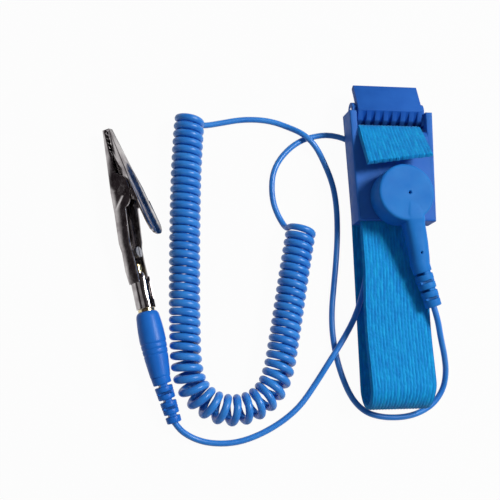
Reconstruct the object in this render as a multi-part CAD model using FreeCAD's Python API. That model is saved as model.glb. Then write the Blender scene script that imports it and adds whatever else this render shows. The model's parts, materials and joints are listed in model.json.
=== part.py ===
import FreeCAD, Part
import math
import os

# Antistatic wrist strap with a curly earth cord and a crocodile clip, in millimetres.
# The strap lies on the table: X across the band, Y from the fold to the clasp, Z up.
# The origin is under the middle of the strap. The cord, its snap cap and its clip lie beside it.

V = FreeCAD.Vector

# Band
strap_length = 94.4
band_width = 19.0
band_thick = 1.4
band_shift = -0.9
band_top = 11.8
band_side_gap = 0.2
band_gap = 0.3
hook_gap = 0.05
hook_stub = 0.5
step_from_frame = 1.6
step_length = 16.3
rise_radius = 2.2
tail_angle = 55.0
tail_length = 12.9

# Buckle frame
frame_length = 32.6
frame_bottom = 4.6
frame_height = 7.0
frame_wide = 25.2
frame_narrow = 23.2
end_wall = 1.6
deck_thick = 1.2
anvil_wall = 2.2
anvil_round = 2.2
anvil_gap = 0.05
plate_thick = 0.6
plate_margin = 0.8
plate_side = 0.5
plate_corner = 2.0
rail_edge = 0.6
anchor_radius = 0.8
anchor_sink = 0.7
anchor_from_wall = 1.0

# Clasp lever
lever_reach = 7.9
lever_width = 19.5
lever_thick = 1.9
lever_slope = 24.0
lever_rise = 3.4
lever_root = 0.7
lever_tip_round = 0.45
hub_radius = 2.2
pin_height = 7.0
pin_radius = 0.9
pin_beyond_frame = 1.1
pin_fit = 0.05
brow_forward = 2.7
brow_drop = 1.2
bite_radius = 5.0
bite_low = 185.0
bite_high = 172.0
bite_gap = 0.1
notch_depth = 0.75
bite_teeth = 8
bite_tooth_width = 1.35
ear_radius = 2.4
ear_thick = 1.0
ear_gap = 0.15

# Snap stud and its rivet
stud_from_end = 6.3
stud_flange_radius = 4.5
stud_flange_thick = 0.4
stud_neck_radius = 1.7
stud_knob_radius = 2.0
stud_knob_low = 1.1
stud_knob_high = 2.3
stud_top = 2.7
stud_cap_radius = 1.4
rivet_radius = 1.15
rivet_fit = 0.05
rivet_head_radius = 2.4
rivet_head_thick = 0.4
rivet_into_stud = 1.7

# Snap cap
cap_radius = 8.15
cap_height = 8.1
cap_gap = 0.3
cap_edge = 0.7
cap_cavity_radius = 6.1
cap_cavity_depth = 4.4
insert_radius = 6.0
insert_bore = 5.1
insert_top = 0.6
socket_radius = 5.0
socket_wall = 0.5
socket_lip_radius = 2.4
socket_lip = 0.4
socket_above_deck = 0.6
socket_height = 3.0
ring_fit = 0.03
ring_wire = 0.3
ring_opening = 50.0
small_gap = 0.1
cap_rivet_radius = 0.7
cap_rivet_head = 1.6
cap_rivet_low_head = 1.2
cap_rivet_low_thick = 0.25
cap_rivet_top = 1.2

# Neck and strain relief of the cap
neck_angle = -84.5
neck_shift = 2.4
relief_angle = -72.8
neck_start = 17.0
neck_drop = 2.8
neck_length = 20.0
relief_length = 12.0
neck_wide = 6.2
neck_high = 5.6
neck_end = 5.4
relief_end_radius = 1.9
relief_slots = 4
relief_slot_turn = 135.0
relief_slot = 0.8
relief_core = 1.15
wire_radius = 0.35
wire_fit = 0.1
resistor_radius = 1.15
resistor_waist = 0.95
resistor_length = 6.0
resistor_from = 10.0

# Cord
cord_diameter = 1.7
coil_radius = 3.3
coil_level = 4.2
coil_turns = 59
coil_pitch_bend = 3.3
coil_pitch_arm = 2.3
limp_bend = 3.0
arc_share = 0.45
lead_straight = 3.6

# Plug
plug_front = V(-71.15, -19.0, 4.1)
plug_angle = 10.9
clip_roll = 38.0
grip_length = 18.35
grip_radius = 3.6
grip_front_radius = 2.9
grip_tail_radius = 2.75
grip_wide_at = 8.0
grip_round = 1.6
grip_rings = 3
grip_ring_pitch = 1.6
grip_ring_depth = 0.25
grip_ring_from = 11.2
plug_relief_end = V(-64.0, -49.0, 3.0)
plug_relief_radius = 2.6
plug_relief_end_radius = 1.8
plug_relief_slots = 5
plug_pin_flange = 2.3
plug_pin_flange_thick = 0.7
plug_pin_radius = 1.0
plug_pin_length = 13.6
plug_shank_radius = 1.2
plug_shank_length = 17.2
spring_sleeve_radius = 2.0
spring_sleeve_end = 1.3
spring_sleeve_wall = 0.22
spring_sleeve_length = 10.0
spring_sleeve_slits = 5
spring_sleeve_slit = 0.4

# Crocodile clip
sheet = 0.5
clip_length = 52.4
clip_start = 0.9
barrel_length = 8.6
barrel_radius = 2.65
barrel_mouth = 1.4
shoulder_from = 3.15
shoulder_to = 4.6
clip_side_gap = 0.15
pivot_along = 33.5
pivot_above = 2.2
pivot_radius = 0.8
pivot_head = 1.3
pivot_head_thick = 0.35
body_ear_half = 4.6
body_ear_rise = 2.3
ear_steps = 12
jaw_ear_radius = 1.95
body_half_width = 3.5
tip_half_width = 1.0
tip_floor = -1.4
tip_rim = -0.25
rim_slope = 0.1
thumb_half_width = 3.3
thumb_end = 19.7
jaw_tip_top = 0.7
jaw_slope = 13.9
tooth_pitch = 1.3
tooth_depth = 0.45
rim_gap = 0.1
spring_wire = 0.3
spring_radius = 1.35
spring_pitch = 1.05
spring_full_turns = 3
screw_along = 16.5
screw_radius = 0.9
screw_head_radius = 1.5
screw_head_thick = 0.9

# Routes of the free cord, from the cap to the coil and from the coil to the plug
lead_route = [
    (10.4, -28.0, 11.5), (12.6, -32.5, 8.0), (14.4, -37.0, 4.0), (14.3, -41.4, 1.5),
    (11.8, -45.2, 0.9), (8.16, -47.6, 0.9), (6.0, -48.325, 0.9),
]
snap_route = [
    (6.0, -48.325, 0.9), (3.84, -49.05, 0.9), (-0.7, -49.4, 0.9), (-5.3, -49.0, 0.9), (-9.7, -47.5, 0.9),
    (-13.4, -43.5, 0.9), (-16.0, -36.8, 0.9), (-17.4, -30.5, 0.9), (-18.0, -24.2, 0.9), (-17.8, -18.4, 0.9),
    (-16.9, -12.0, 0.9), (-15.8, -4.4, 0.9), (-14.95, 3.5, 0.9), (-14.75, 11.9, 0.9), (-15.6, 18.8, 0.9),
    (-17.9, 25.2, 0.9), (-21.0, 29.8, 3.1), (-24.5, 33.2, 3.1), (-28.6, 35.8, 0.9), (-32.8, 37.2, 0.9),
    (-37.4, 37.75, 0.9), (-42.6, 37.55, 0.9), (-48.2, 36.4, 0.9), (-53.1, 35.39, 0.9),
    (-56.35, 35.399, 0.889),
]
coil_route = [
    (-58.05, 35.4), (-59.35, 24.0), (-60.3, 2.0), (-60.9, -22.0), (-60.7, -37.2), (-56.3, -43.9),
    (-48.8, -46.8), (-40.9, -45.0), (-35.5, -39.0), (-32.5, -24.5), (-29.0, -6.5), (-26.6, 5.0),
]
plug_route = [
    (-28.214, 5.532, 7.511), (-30.7, 6.35, 7.53), (-32.7, 7.75, 7.1), (-34.0, 9.9, 6.2), (-34.5, 13.2, 4.3),
    (-34.3, 17.2, 2.0), (-33.6, 21.4, 0.9), (-31.8, 25.3, 0.9), (-28.7, 28.9, 0.9), (-25.0, 31.6, 0.9),
    (-21.1, 33.0, 0.9), (-16.3, 33.8, 0.9), (-11.5, 32.1, 2.8), (-8.3, 29.8, 2.7), (-6.4, 24.5, 2.7),
    (-5.7, 17.0, 2.7), (-5.7, 8.0, 2.7), (-6.3, -1.5, 2.7), (-7.9, -11.0, 2.7), (-11.0, -20.0, 2.8),
    (-15.3, -27.0, 3.1), (-20.0, -33.6, 3.1), (-23.9, -39.8, 0.9), (-28.0, -45.1, 0.9), (-32.2, -48.6, 0.9),
    (-36.7, -51.3, 0.9), (-41.1, -53.3, 0.9), (-45.8, -54.7, 0.9), (-50.3, -55.1, 0.9), (-54.65, -54.7, 0.9),
    (-58.0, -53.7, 1.1), (-60.7, -52.3, 1.8), (-62.75, -50.75, 2.6), (-64.0, -49.0, 3.0),
]

# Heights and places that follow from the sizes
deck = frame_bottom + frame_height
deck_low = deck - deck_thick
half_length = strap_length / 2
pin_y = half_length - lever_reach
clasp_y = pin_y - pin_beyond_frame
snap_y = clasp_y - frame_length
step_start = snap_y - step_from_frame
cord_radius = cord_diameter / 2
band_left = band_shift - band_width / 2
band_right = band_shift + band_width / 2
window_half = band_width / 2 + abs(band_shift) + band_side_gap
lever_half = lever_width / 2
band_face = pin_y - bite_radius - bite_gap
rise_y = band_face - band_thick / 2
anvil_face = band_face - band_thick - anvil_gap
anvil_centre_y = anvil_face - anvil_round
anvil_centre_z = deck - anvil_round
cap_bottom = deck + cap_gap
cap_top = cap_bottom + cap_height
socket_bottom = deck + socket_above_deck
socket_top = socket_bottom + socket_height
insert_ceiling = socket_top + small_gap
cap_ceiling = cap_bottom + cap_cavity_depth
stud_axis = V(0, snap_y + stud_from_end, 0)


def box(x0, x1, y0, y1, z0, z1):
    return Part.makeBox(x1 - x0, y1 - y0, z1 - z0, V(x0, y0, z0))


def rod(start, end, radius):
    return Part.makeCylinder(radius, (end - start).Length, start, end - start)


def cone(start, end, radius, end_radius):
    return Part.makeCone(radius, end_radius, (end - start).Length, start, end - start)


def prism(points, along):
    """A polygon of 3-D points, pushed along a vector."""
    return Part.Face(Part.makePolygon(points + points[:1])).extrude(along)


def turned(profile, start, along):
    """A profile of (radius, height) points turned about the line from start along a direction."""
    points = [V(radius, 0, height) for radius, height in profile]
    solid = Part.Face(Part.makePolygon(points + points[:1])).revolve(V(0, 0, 0), V(0, 0, 1), 360)
    solid.Placement = FreeCAD.Placement(start, FreeCAD.Rotation(V(0, 0, 1), along))
    return solid


def fuse(first, *others):
    return first.multiFuse(list(others)).removeSplitter()


def arc_edge(first, corner, last):
    """The arc that leaves first toward corner and reaches last from corner."""
    middle = (first + last) / 2
    height = (corner - middle).Length
    half = (last - first).Length / 2
    if height < 1e-6:
        return Part.makeLine(first, last)
    rise = half * math.tan(math.atan2(height, half) / 2)
    return Part.Arc(first, middle + (corner - middle) / height * rise, last).toShape()


def rounded_path(points):
    """Straight runs joined by tangent arcs, each as large as its two runs allow."""
    edges = []
    radii = []
    here = points[0]
    for before, corner, after in zip(points, points[1:], points[2:]):
        back = before - corner
        on = after - corner
        share = arc_share * min(back.Length, on.Length)
        turn = math.pi - back.getAngle(on)
        radii.append(share / math.tan(turn / 2))
        first = corner + back / back.Length * share
        last = corner + on / on.Length * share
        edges.append(Part.makeLine(here, first))
        edges.append(arc_edge(first, corner, last))
        here = last
    edges.append(Part.makeLine(here, points[-1]))
    return edges, radii


def swept(edges, radius, along):
    """A round tube along tangent edges, square to its first edge."""
    path = Part.Wire(edges)
    circle = Part.Wire([Part.makeCircle(radius, edges[0].firstVertex().Point, along)])
    return Part.Solid(path.makePipeShell([circle], True, False))


def lead_from_cap():
    """The cord's first stretch, straight out of the relief and down to the table."""
    end = neck_length + relief_length
    return [tuple(neck_point(end)), tuple(neck_point(end + lead_straight))] + lead_route


def free_cord(name, route):
    points = [V(*point) for point in route]
    edges, radii = rounded_path(points)
    tube = swept(edges, cord_radius, points[1] - points[0])
    length = sum(edge.Length for edge in edges)
    share = tube.Volume / (math.pi * cord_radius ** 2 * length)
    smallest = min(radii)
    print(name, "length %.1f least radius %.1f of %.1f volume share %.4f" %
          (length, smallest, limp_bend * cord_diameter, share), "valid", tube.isValid())
    return tube


def ribbon(start, heading, steps, thick, x0, x1):
    """A strip of even thickness in Y-Z, of ("run", length) and ("turn", radius, degrees to the left)."""
    left = []
    right = []
    here = V(0, *start)
    angle = math.radians(heading)
    for step in steps:
        side = V(0, -math.sin(angle), math.cos(angle))
        if step[0] == "run":
            there = here + V(0, math.cos(angle), math.sin(angle)) * step[1]
            for chain, way in ((left, 1), (right, -1)):
                chain.append(Part.makeLine(here + side * way * thick / 2, there + side * way * thick / 2))
            here = there
            continue
        radius = math.copysign(step[1], step[2])
        centre = here + side * radius
        half = angle + math.radians(step[2]) / 2
        angle += math.radians(step[2])
        for chain, way in ((left, 1), (right, -1)):
            reach = radius - way * thick / 2
            spots = [centre + V(0, math.sin(at), -math.cos(at)) * reach
                     for at in (2 * half - angle, half, angle)]
            chain.append(Part.Arc(*spots).toShape())
        here = centre + V(0, math.sin(angle), -math.cos(angle)) * radius
    first_cap = Part.makeLine(right[0].firstVertex(True).Point, left[0].firstVertex(True).Point)
    last_cap = Part.makeLine(left[-1].lastVertex(True).Point, right[-1].lastVertex(True).Point)
    outline = Part.Wire(Part.__sortEdges__(left + [last_cap] + right + [first_cap]))
    strip = Part.Face(outline).extrude(V(x1 - x0, 0, 0))
    strip.translate(V(x0, 0, 0))
    return strip


def elastic_band():
    """One strip: hooked round the anchor pin, out over the loop, under it and up through the clasp."""
    hook = anchor_radius + hook_gap + band_thick / 2
    hook_y = snap_y + end_wall + anchor_from_wall
    top = deck_low - band_gap - band_thick / 2
    high = band_top - band_thick / 2
    low = band_thick / 2
    step = 2 * math.atan2(high - top, step_length)
    step_radius = step_length / 2 / math.sin(step)
    fold = (high - low) / 2
    fold_y = -half_length + fold + band_thick / 2
    step_end = step_start - step_length
    steps = [
        ("run", hook_stub), ("turn", hook, 180), ("run", hook_y - step_start),
        ("turn", step_radius, -math.degrees(step)), ("turn", step_radius, math.degrees(step)),
        ("run", step_end - fold_y), ("turn", fold, 180), ("run", rise_y - rise_radius - fold_y),
        ("turn", rise_radius, 90), ("run", anvil_centre_z - rise_radius - low),
        ("turn", anvil_round + anvil_gap + band_thick / 2, tail_angle), ("run", tail_length),
    ]
    return ribbon((hook_y - hook_stub, top - 2 * hook), 0, steps, band_thick, band_left, band_right)


def anchor_place():
    hook = anchor_radius + hook_gap + band_thick / 2
    return snap_y + end_wall + anchor_from_wall, deck_low - band_gap - band_thick / 2 - hook


def anchor_pin():
    y, z = anchor_place()
    half = window_half + anchor_sink
    return rod(V(-half, y, z), V(half, y, z), anchor_radius)


def buckle_frame():
    """A tapered tray, open below, with a slot for the fixed end and a window for the free end of the band."""
    outline = [
        V(-frame_narrow / 2, snap_y, frame_bottom), V(frame_narrow / 2, snap_y, frame_bottom),
        V(frame_wide / 2, clasp_y, frame_bottom), V(-frame_wide / 2, clasp_y, frame_bottom),
    ]
    body = prism(outline, V(0, 0, frame_height))
    upper = [edge for edge in body.Edges if edge.CenterOfMass.z > deck - small_gap]
    body = body.makeFillet(rail_edge, upper)
    cavity = box(-window_half, window_half, snap_y + end_wall, anvil_face - anvil_wall,
                 frame_bottom, deck_low)
    window = box(-window_half, window_half, anvil_face, clasp_y, frame_bottom, deck)
    slot_low = deck_low - 2 * band_gap - band_thick
    slot = box(band_left - band_side_gap, band_right + band_side_gap, snap_y, snap_y + end_wall,
               slot_low, deck_low)
    stud_hole = rod(stud_axis + V(0, 0, frame_bottom), stud_axis + V(0, 0, deck), rivet_radius + rivet_fit)
    y, z = anchor_place()
    anchor_bore = rod(V(-window_half - anchor_sink, y, z), V(window_half + anchor_sink, y, z), anchor_radius)
    body = body.cut(cavity).cut(window).cut(slot).cut(stud_hole).cut(anchor_bore)
    corner = box(-window_half, window_half, anvil_centre_y, anvil_face, anvil_centre_z, deck)
    rounding = rod(V(-window_half, anvil_centre_y, anvil_centre_z),
                   V(window_half, anvil_centre_y, anvil_centre_z), anvil_round)
    body = body.cut(corner.cut(rounding))
    return fuse(body, clasp_ear(-1), clasp_ear(1))


def clasp_ear(side):
    """A rounded plate inside one rail, with the hinge pin's hole."""
    inner = lever_half + ear_gap
    outer = max(inner + ear_thick, window_half + small_gap)
    first = band_face + band_gap
    plate = box(inner, outer, first, pin_y, pin_height - ear_radius, pin_height + ear_radius)
    knuckle = rod(V(inner, pin_y, pin_height), V(outer, pin_y, pin_height), ear_radius)
    web = box(inner, (window_half + frame_wide / 2) / 2, first, clasp_y - rail_edge,
              pin_height - ear_radius, pin_height + ear_radius)
    bore = rod(V(inner, pin_y, pin_height), V(outer, pin_y, pin_height), pin_radius)
    ear = fuse(plate, knuckle, web).cut(bore)
    return ear if side > 0 else ear.mirror(V(0, 0, 0), V(1, 0, 0))


def clasp_pin():
    half = max(lever_half + ear_gap + ear_thick, window_half + small_gap)
    return rod(V(-half, pin_y, pin_height), V(half, pin_y, pin_height), pin_radius)


def lever_point(along, above):
    """A point from the pin, along the flap's slope and square above it."""
    slope = math.radians(lever_slope)
    down = V(0, math.cos(slope), -math.sin(slope))
    up = V(0, math.sin(slope), math.cos(slope))
    return V(-lever_half, pin_y, pin_height) + down * along + up * above


def on_bite(degrees):
    angle = math.radians(degrees)
    return V(-lever_half, pin_y + bite_radius * math.cos(angle), pin_height + bite_radius * math.sin(angle))


def lever_root_point():
    """The edge where the flap's top turns down to the teeth, just before the pin."""
    slope = math.radians(lever_slope)
    back = (lever_rise * math.sin(slope) + lever_root) / math.cos(slope)
    return lever_point(-back, lever_rise)


def lever_notches():
    """Grooves between the teeth, from the root over the brow and through the edge that bites."""
    root = lever_root_point()
    brow_y = root.y - brow_forward + notch_depth / 2
    bite_y = on_bite(bite_high).y
    high = root.z + notch_depth
    low = on_bite(bite_low).z - notch_depth
    outline = [
        (root.y - notch_depth / 2, high), (root.y - notch_depth / 2, root.z - notch_depth / 3),
        (brow_y, root.z - brow_drop - notch_depth), (bite_y + notch_depth, on_bite(bite_high).z),
        (bite_y + notch_depth, low), (bite_y - notch_depth, low), (bite_y - notch_depth, high),
    ]
    pitch = (lever_width - bite_tooth_width) / (bite_teeth - 1)
    notches = []
    for number in range(bite_teeth - 1):
        start = number * pitch + bite_tooth_width - lever_half
        notches.append(prism([V(start, y, z) for y, z in outline], V(pitch - bite_tooth_width, 0, 0)))
    return notches


def clasp_lever():
    """The flap, its hub on the pin, and the toothed edge that presses the band on the anvil.

    The edge lies on a circle about the pin, so that it clears the band as it opens.
    """
    slope = math.radians(lever_slope)
    rounded_off = lever_tip_round * (math.cos(slope) + math.sin(slope) - 1)
    reach = (lever_reach - lever_rise * math.sin(slope) + rounded_off) / math.cos(slope)
    root = lever_root_point()
    under = lever_rise - lever_thick
    heel = V(-lever_half, pin_y - hub_radius / 2, pin_height - hub_radius * math.sin(math.pi / 3))
    corners = [
        on_bite(bite_high), root + V(0, -brow_forward, -brow_drop), root, lever_point(reach, lever_rise),
        lever_point(reach, under), lever_point(hub_radius / 2, under), heel, on_bite(bite_low),
    ]
    edges = [Part.makeLine(first, last) for first, last in zip(corners, corners[1:])]
    edges.append(Part.Arc(corners[-1], on_bite((bite_low + bite_high) / 2), corners[0]).toShape())
    flap = Part.Face(Part.Wire(edges)).extrude(V(lever_width, 0, 0))
    tip = [edge for edge in flap.Edges if edge.CenterOfMass.y > half_length - lever_thick
           and abs(edge.tangentAt(edge.FirstParameter).x) > 0.9]
    flap = flap.makeFillet(lever_tip_round, tip)
    hub = rod(V(-lever_half, pin_y, pin_height), V(lever_half, pin_y, pin_height), hub_radius)
    lever = fuse(flap, hub)
    for notch in lever_notches():
        lever = lever.cut(notch)
    bore = rod(V(-lever_half, pin_y, pin_height), V(lever_half, pin_y, pin_height), pin_radius + pin_fit)
    return lever.cut(bore)


def skin_plate():
    """The steel plate against the skin, under the frame."""
    half = window_half + plate_side
    first = snap_y + plate_margin
    last = anvil_face - plate_margin
    plate = box(-half, half, first, last, frame_bottom - plate_thick, frame_bottom)
    corners = [edge for edge in plate.Edges if abs(edge.tangentAt(edge.FirstParameter).z) > 0.9]
    plate = plate.makeFillet(plate_corner, corners)
    low = stud_axis + V(0, 0, frame_bottom - plate_thick)
    return plate.cut(rod(low, low + V(0, 0, plate_thick), rivet_radius + rivet_fit))


def snap_stud():
    bore = rivet_radius + rivet_fit
    profile = [
        (bore, 0), (stud_flange_radius, 0), (stud_flange_radius, stud_flange_thick),
        (stud_neck_radius, stud_flange_thick), (stud_neck_radius, stud_knob_low),
        (stud_knob_radius, stud_knob_low + small_gap), (stud_knob_radius, stud_knob_high - small_gap),
        (stud_cap_radius, stud_top), (0, stud_top), (0, rivet_into_stud + rivet_fit),
        (bore, rivet_into_stud + rivet_fit),
    ]
    return turned(profile, stud_axis + V(0, 0, deck), V(0, 0, 1))


def stud_rivet():
    """From the head under the skin plate up into the stud."""
    plate_low = frame_bottom - plate_thick
    under = stud_axis + V(0, 0, plate_low)
    head = rod(under - V(0, 0, rivet_head_thick), under, rivet_head_radius)
    shank = rod(under, stud_axis + V(0, 0, deck + rivet_into_stud), rivet_radius)
    return fuse(head, shank)


def snap_ring():
    """The open wire ring that grips the stud."""
    mean = stud_knob_radius + ring_fit + ring_wire
    level = socket_bottom + socket_lip + ring_wire + rivet_fit
    start = stud_axis + V(mean, 0, level)
    section = Part.Face(Part.Wire([Part.makeCircle(ring_wire, start, V(0, 1, 0))]))
    ring = section.revolve(stud_axis, V(0, 0, 1), 360 - ring_opening)
    ring.rotate(stud_axis, V(0, 0, 1), ring_opening / 2)
    return ring


def snap_socket():
    """The metal cup that snaps over the stud."""
    inner = socket_radius - socket_wall
    profile = [
        (socket_lip_radius, 0), (socket_radius, 0), (socket_radius, socket_height),
        (cap_rivet_radius, socket_height), (cap_rivet_radius, socket_height - socket_wall),
        (inner, socket_height - socket_wall), (inner, socket_lip), (socket_lip_radius, socket_lip),
    ]
    return turned(profile, stud_axis + V(0, 0, socket_bottom), V(0, 0, 1))


def cap_insert():
    """The hard cup inside the soft cap, round the socket."""
    height = insert_ceiling - socket_bottom
    profile = [
        (insert_bore, 0), (insert_radius, 0), (insert_radius, height + insert_top),
        (cap_rivet_radius, height + insert_top), (cap_rivet_radius, height), (insert_bore, height),
    ]
    return turned(profile, stud_axis + V(0, 0, socket_bottom), V(0, 0, 1))


def cap_rivet():
    """Joins the socket to the hard cup, and carries the resistor's lead."""
    low = socket_top - socket_wall
    high = insert_ceiling + insert_top
    under = low - cap_rivet_low_thick
    profile = [
        (0, under), (cap_rivet_low_head, under), (cap_rivet_low_head, low), (cap_rivet_radius, low),
        (cap_rivet_radius, high), (cap_rivet_head, high), (cap_rivet_head, high + cap_rivet_top),
        (0, high + cap_rivet_top),
    ]
    return turned(profile, stud_axis, V(0, 0, 1))


def level_way(degrees):
    angle = math.radians(degrees)
    return V(math.cos(angle), math.sin(angle), 0)


def neck_point(along):
    """A point on the middle line of the neck, which bends where the relief starts and drops evenly."""
    in_neck = min(along, neck_length)
    drop = neck_drop * along / (neck_length + relief_length)
    start = stud_axis + V(neck_shift, 0, neck_start - drop)
    return start + level_way(neck_angle) * in_neck + level_way(relief_angle) * (along - in_neck)


def relief_way():
    return (neck_point(neck_length + relief_length) - neck_point(neck_length)).normalize()


def neck_section(along, wide, high, way):
    """A rounded rectangle across the neck, square to a direction."""
    side = V(-way.y, way.x, 0).normalize()
    rise = way.cross(side)
    middle = neck_point(along)
    corner = min(wide, high) * arc_share
    edges = []
    for x, z in ((1, 1), (-1, 1), (-1, -1), (1, -1)):
        centre = middle + side * x * (wide / 2 - corner) + rise * z * (high / 2 - corner)
        start = math.atan2(z, x) - math.pi / 4
        spots = [centre + side * corner * math.cos(start + k * math.pi / 4)
                 + rise * corner * math.sin(start + k * math.pi / 4) for k in range(3)]
        edges.append(Part.Arc(*spots).toShape())
    joined = []
    for edge, following in zip(edges, edges[1:] + edges[:1]):
        joined.append(edge)
        joined.append(Part.makeLine(edge.lastVertex().Point, following.firstVertex().Point))
    return Part.Wire(joined)


def snap_cap():
    """The soft cap with its neck, hollow for the snap and the resistor."""
    disc = rod(stud_axis + V(0, 0, cap_bottom), stud_axis + V(0, 0, cap_top), cap_radius)
    rim = [edge for edge in disc.Edges if edge.CenterOfMass.z > cap_top - small_gap]
    disc = disc.makeFillet(cap_edge, rim)
    neck = Part.makeLoft([neck_section(cap_radius / 2, neck_wide, neck_high, level_way(neck_angle)),
                          neck_section(neck_length, neck_end, neck_end, relief_way())], True, True)
    cavity = rod(stud_axis + V(0, 0, cap_bottom), stud_axis + V(0, 0, cap_ceiling), cap_cavity_radius)
    rivet_room = rod(stud_axis + V(0, 0, cap_ceiling - small_gap),
                     stud_axis + V(0, 0, insert_ceiling + insert_top + cap_rivet_top + small_gap),
                     cap_rivet_head + small_gap)
    cap = fuse(disc, neck).cut(cavity).cut(rivet_room)
    room = rod(neck_point(resistor_from - small_gap), neck_point(resistor_from + resistor_length + small_gap),
               resistor_radius + small_gap)
    channel = rod(neck_point(resistor_from), neck_point(neck_length + small_gap), wire_radius + wire_fit)
    lead = rod(lead_start(), neck_point(resistor_from), wire_radius + wire_fit)
    return cap.cut(room).cut(channel).cut(lead)


def resistor_body():
    """A dog-bone body along the neck."""
    start = neck_point(resistor_from)
    end = neck_point(resistor_from + resistor_length)
    bead = resistor_length / 4
    profile = [
        (0, 0), (resistor_radius, 0), (resistor_radius, bead), (resistor_waist, bead + small_gap),
        (resistor_waist, resistor_length - bead - small_gap), (resistor_radius, resistor_length - bead),
        (resistor_radius, resistor_length), (0, resistor_length),
    ]
    return turned(profile, start, end - start)


def lead_start():
    """Where the resistor's inner lead meets the side of the rivet's head."""
    level = insert_ceiling + insert_top + cap_rivet_top / 2
    way = neck_point(resistor_from) - stud_axis
    way.z = 0
    return stud_axis + way.normalize() * (cap_rivet_head + rivet_fit) + V(0, 0, level)


def resistor_leads():
    inner = rod(lead_start(), neck_point(resistor_from), wire_radius).cut(resistor_body())
    bend = neck_point(neck_length)
    outer = fuse(rod(neck_point(resistor_from + resistor_length), bend, wire_radius),
                 rod(bend, neck_point(neck_length + relief_length), wire_radius))
    return Part.makeCompound([inner, outer])


def slotted_relief(start, end, radius, end_radius, across, bore, slots):
    """A taper that bends with the cord: pairs of opposite slots, each a quarter turn from the last."""
    along = (end - start) / (end - start).Length
    length = (end - start).Length
    relief = cone(start, end, radius, end_radius)
    square = along.cross(across)
    for number in range(slots):
        at = start + along * (length * (number + 1) / (slots + 1) - relief_slot / 2)
        inward, level = (across, square) if number % 2 == 0 else (square, across)
        for way in (1, -1):
            first = at + inward * way * relief_core - level * radius
            reach = inward * way * radius
            beyond = first + along * relief_slot
            slot = prism([first, beyond, beyond + reach, first + reach], level * 2 * radius)
            relief = relief.cut(slot)
    return relief.cut(rod(start, end, bore))


def snap_relief():
    turn = math.radians(relief_slot_turn)
    side = level_way(relief_angle + 90)
    across = side * math.cos(turn) + relief_way().cross(side) * math.sin(turn)
    return slotted_relief(neck_point(neck_length), neck_point(neck_length + relief_length), neck_end / 2,
                          relief_end_radius, across, wire_radius + wire_fit, relief_slots)


def plug_way():
    angle = math.radians(plug_angle)
    return V(-math.sin(angle), math.cos(angle), 0)


def in_clip(shape):
    """From the clip's own frame to the table: X along the clip, Y toward the thumb, Z along the pivot."""
    along = plug_way()
    roll = math.radians(clip_roll)
    side = V(along.y, -along.x, 0)
    thumb = side * math.cos(roll) + V(0, 0, math.sin(roll))
    pivot = along.cross(thumb)
    turn = FreeCAD.Matrix(along.x, thumb.x, pivot.x, plug_front.x, along.y, thumb.y, pivot.y, plug_front.y,
                          along.z, thumb.z, pivot.z, plug_front.z, 0, 0, 0, 1)
    placed = shape.copy()
    placed.Placement = FreeCAD.Placement(turn).multiply(shape.Placement)
    return placed


def plug_relief_start():
    return plug_front - plug_way() * grip_length


def plug_relief():
    start = plug_relief_start()
    along = plug_relief_end - start
    across = along.cross(V(0, 0, 1)).normalize()
    relief = slotted_relief(start, plug_relief_end, plug_relief_radius, plug_relief_end_radius, across,
                            wire_radius + wire_fit, plug_relief_slots)
    return relief.cut(cord_at_relief(plug_relief_radius))


def cord_at_relief(radius):
    """The first of the cord behind the relief, which squares the relief's end to it."""
    return rod(plug_relief_end, V(*plug_route[-2]), radius)


def plug_grip():
    """The moulded grip behind the plug, round the pin's shank."""
    slope = (grip_radius - grip_tail_radius) / (grip_length - grip_wide_at)
    profile = [(0, 0), (grip_front_radius - grip_round / 2, 0), (grip_front_radius, grip_round / 2),
               (grip_radius, grip_wide_at)]
    for number in range(grip_rings):
        at = grip_ring_from + number * grip_ring_pitch
        radius = grip_radius - slope * (at - grip_wide_at)
        profile += [(radius, at), (radius - grip_ring_depth, at + grip_ring_depth),
                    (radius - slope * 2 * grip_ring_depth, at + 2 * grip_ring_depth)]
    profile += [(grip_tail_radius, grip_length), (0, grip_length)]
    grip = turned(profile, plug_front, plug_way() * -1)
    shank = rod(plug_front, plug_front - plug_way() * plug_shank_length, plug_shank_radius)
    start = plug_relief_start()
    wire = rod(start - (plug_relief_end - start) / grip_length, plug_relief_end, wire_radius + wire_fit)
    return grip.cut(shank).cut(wire).cut(plug_relief())


def plug_wire():
    """The cord's conductor inside the relief, up to the pin's shank."""
    start = plug_relief_start()
    along = (plug_relief_end - start).normalize()
    wire = rod(start - along * wire_radius, plug_relief_end, wire_radius)
    return wire.cut(cord_at_relief(cord_radius))


def banana_pin():
    shank = Part.makeCylinder(plug_shank_radius, plug_shank_length, V(0, 0, 0), V(-1, 0, 0))
    flange = Part.makeCylinder(plug_pin_flange, plug_pin_flange_thick, V(0, 0, 0), V(1, 0, 0))
    core = Part.makeCylinder(plug_pin_radius, plug_pin_length, V(0, 0, 0), V(1, 0, 0))
    end = [edge for edge in core.Edges if edge.CenterOfMass.x > plug_pin_length - small_gap]
    core = core.makeChamfer(plug_pin_radius / 2, end)
    return in_clip(fuse(shank, flange, core))


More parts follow.
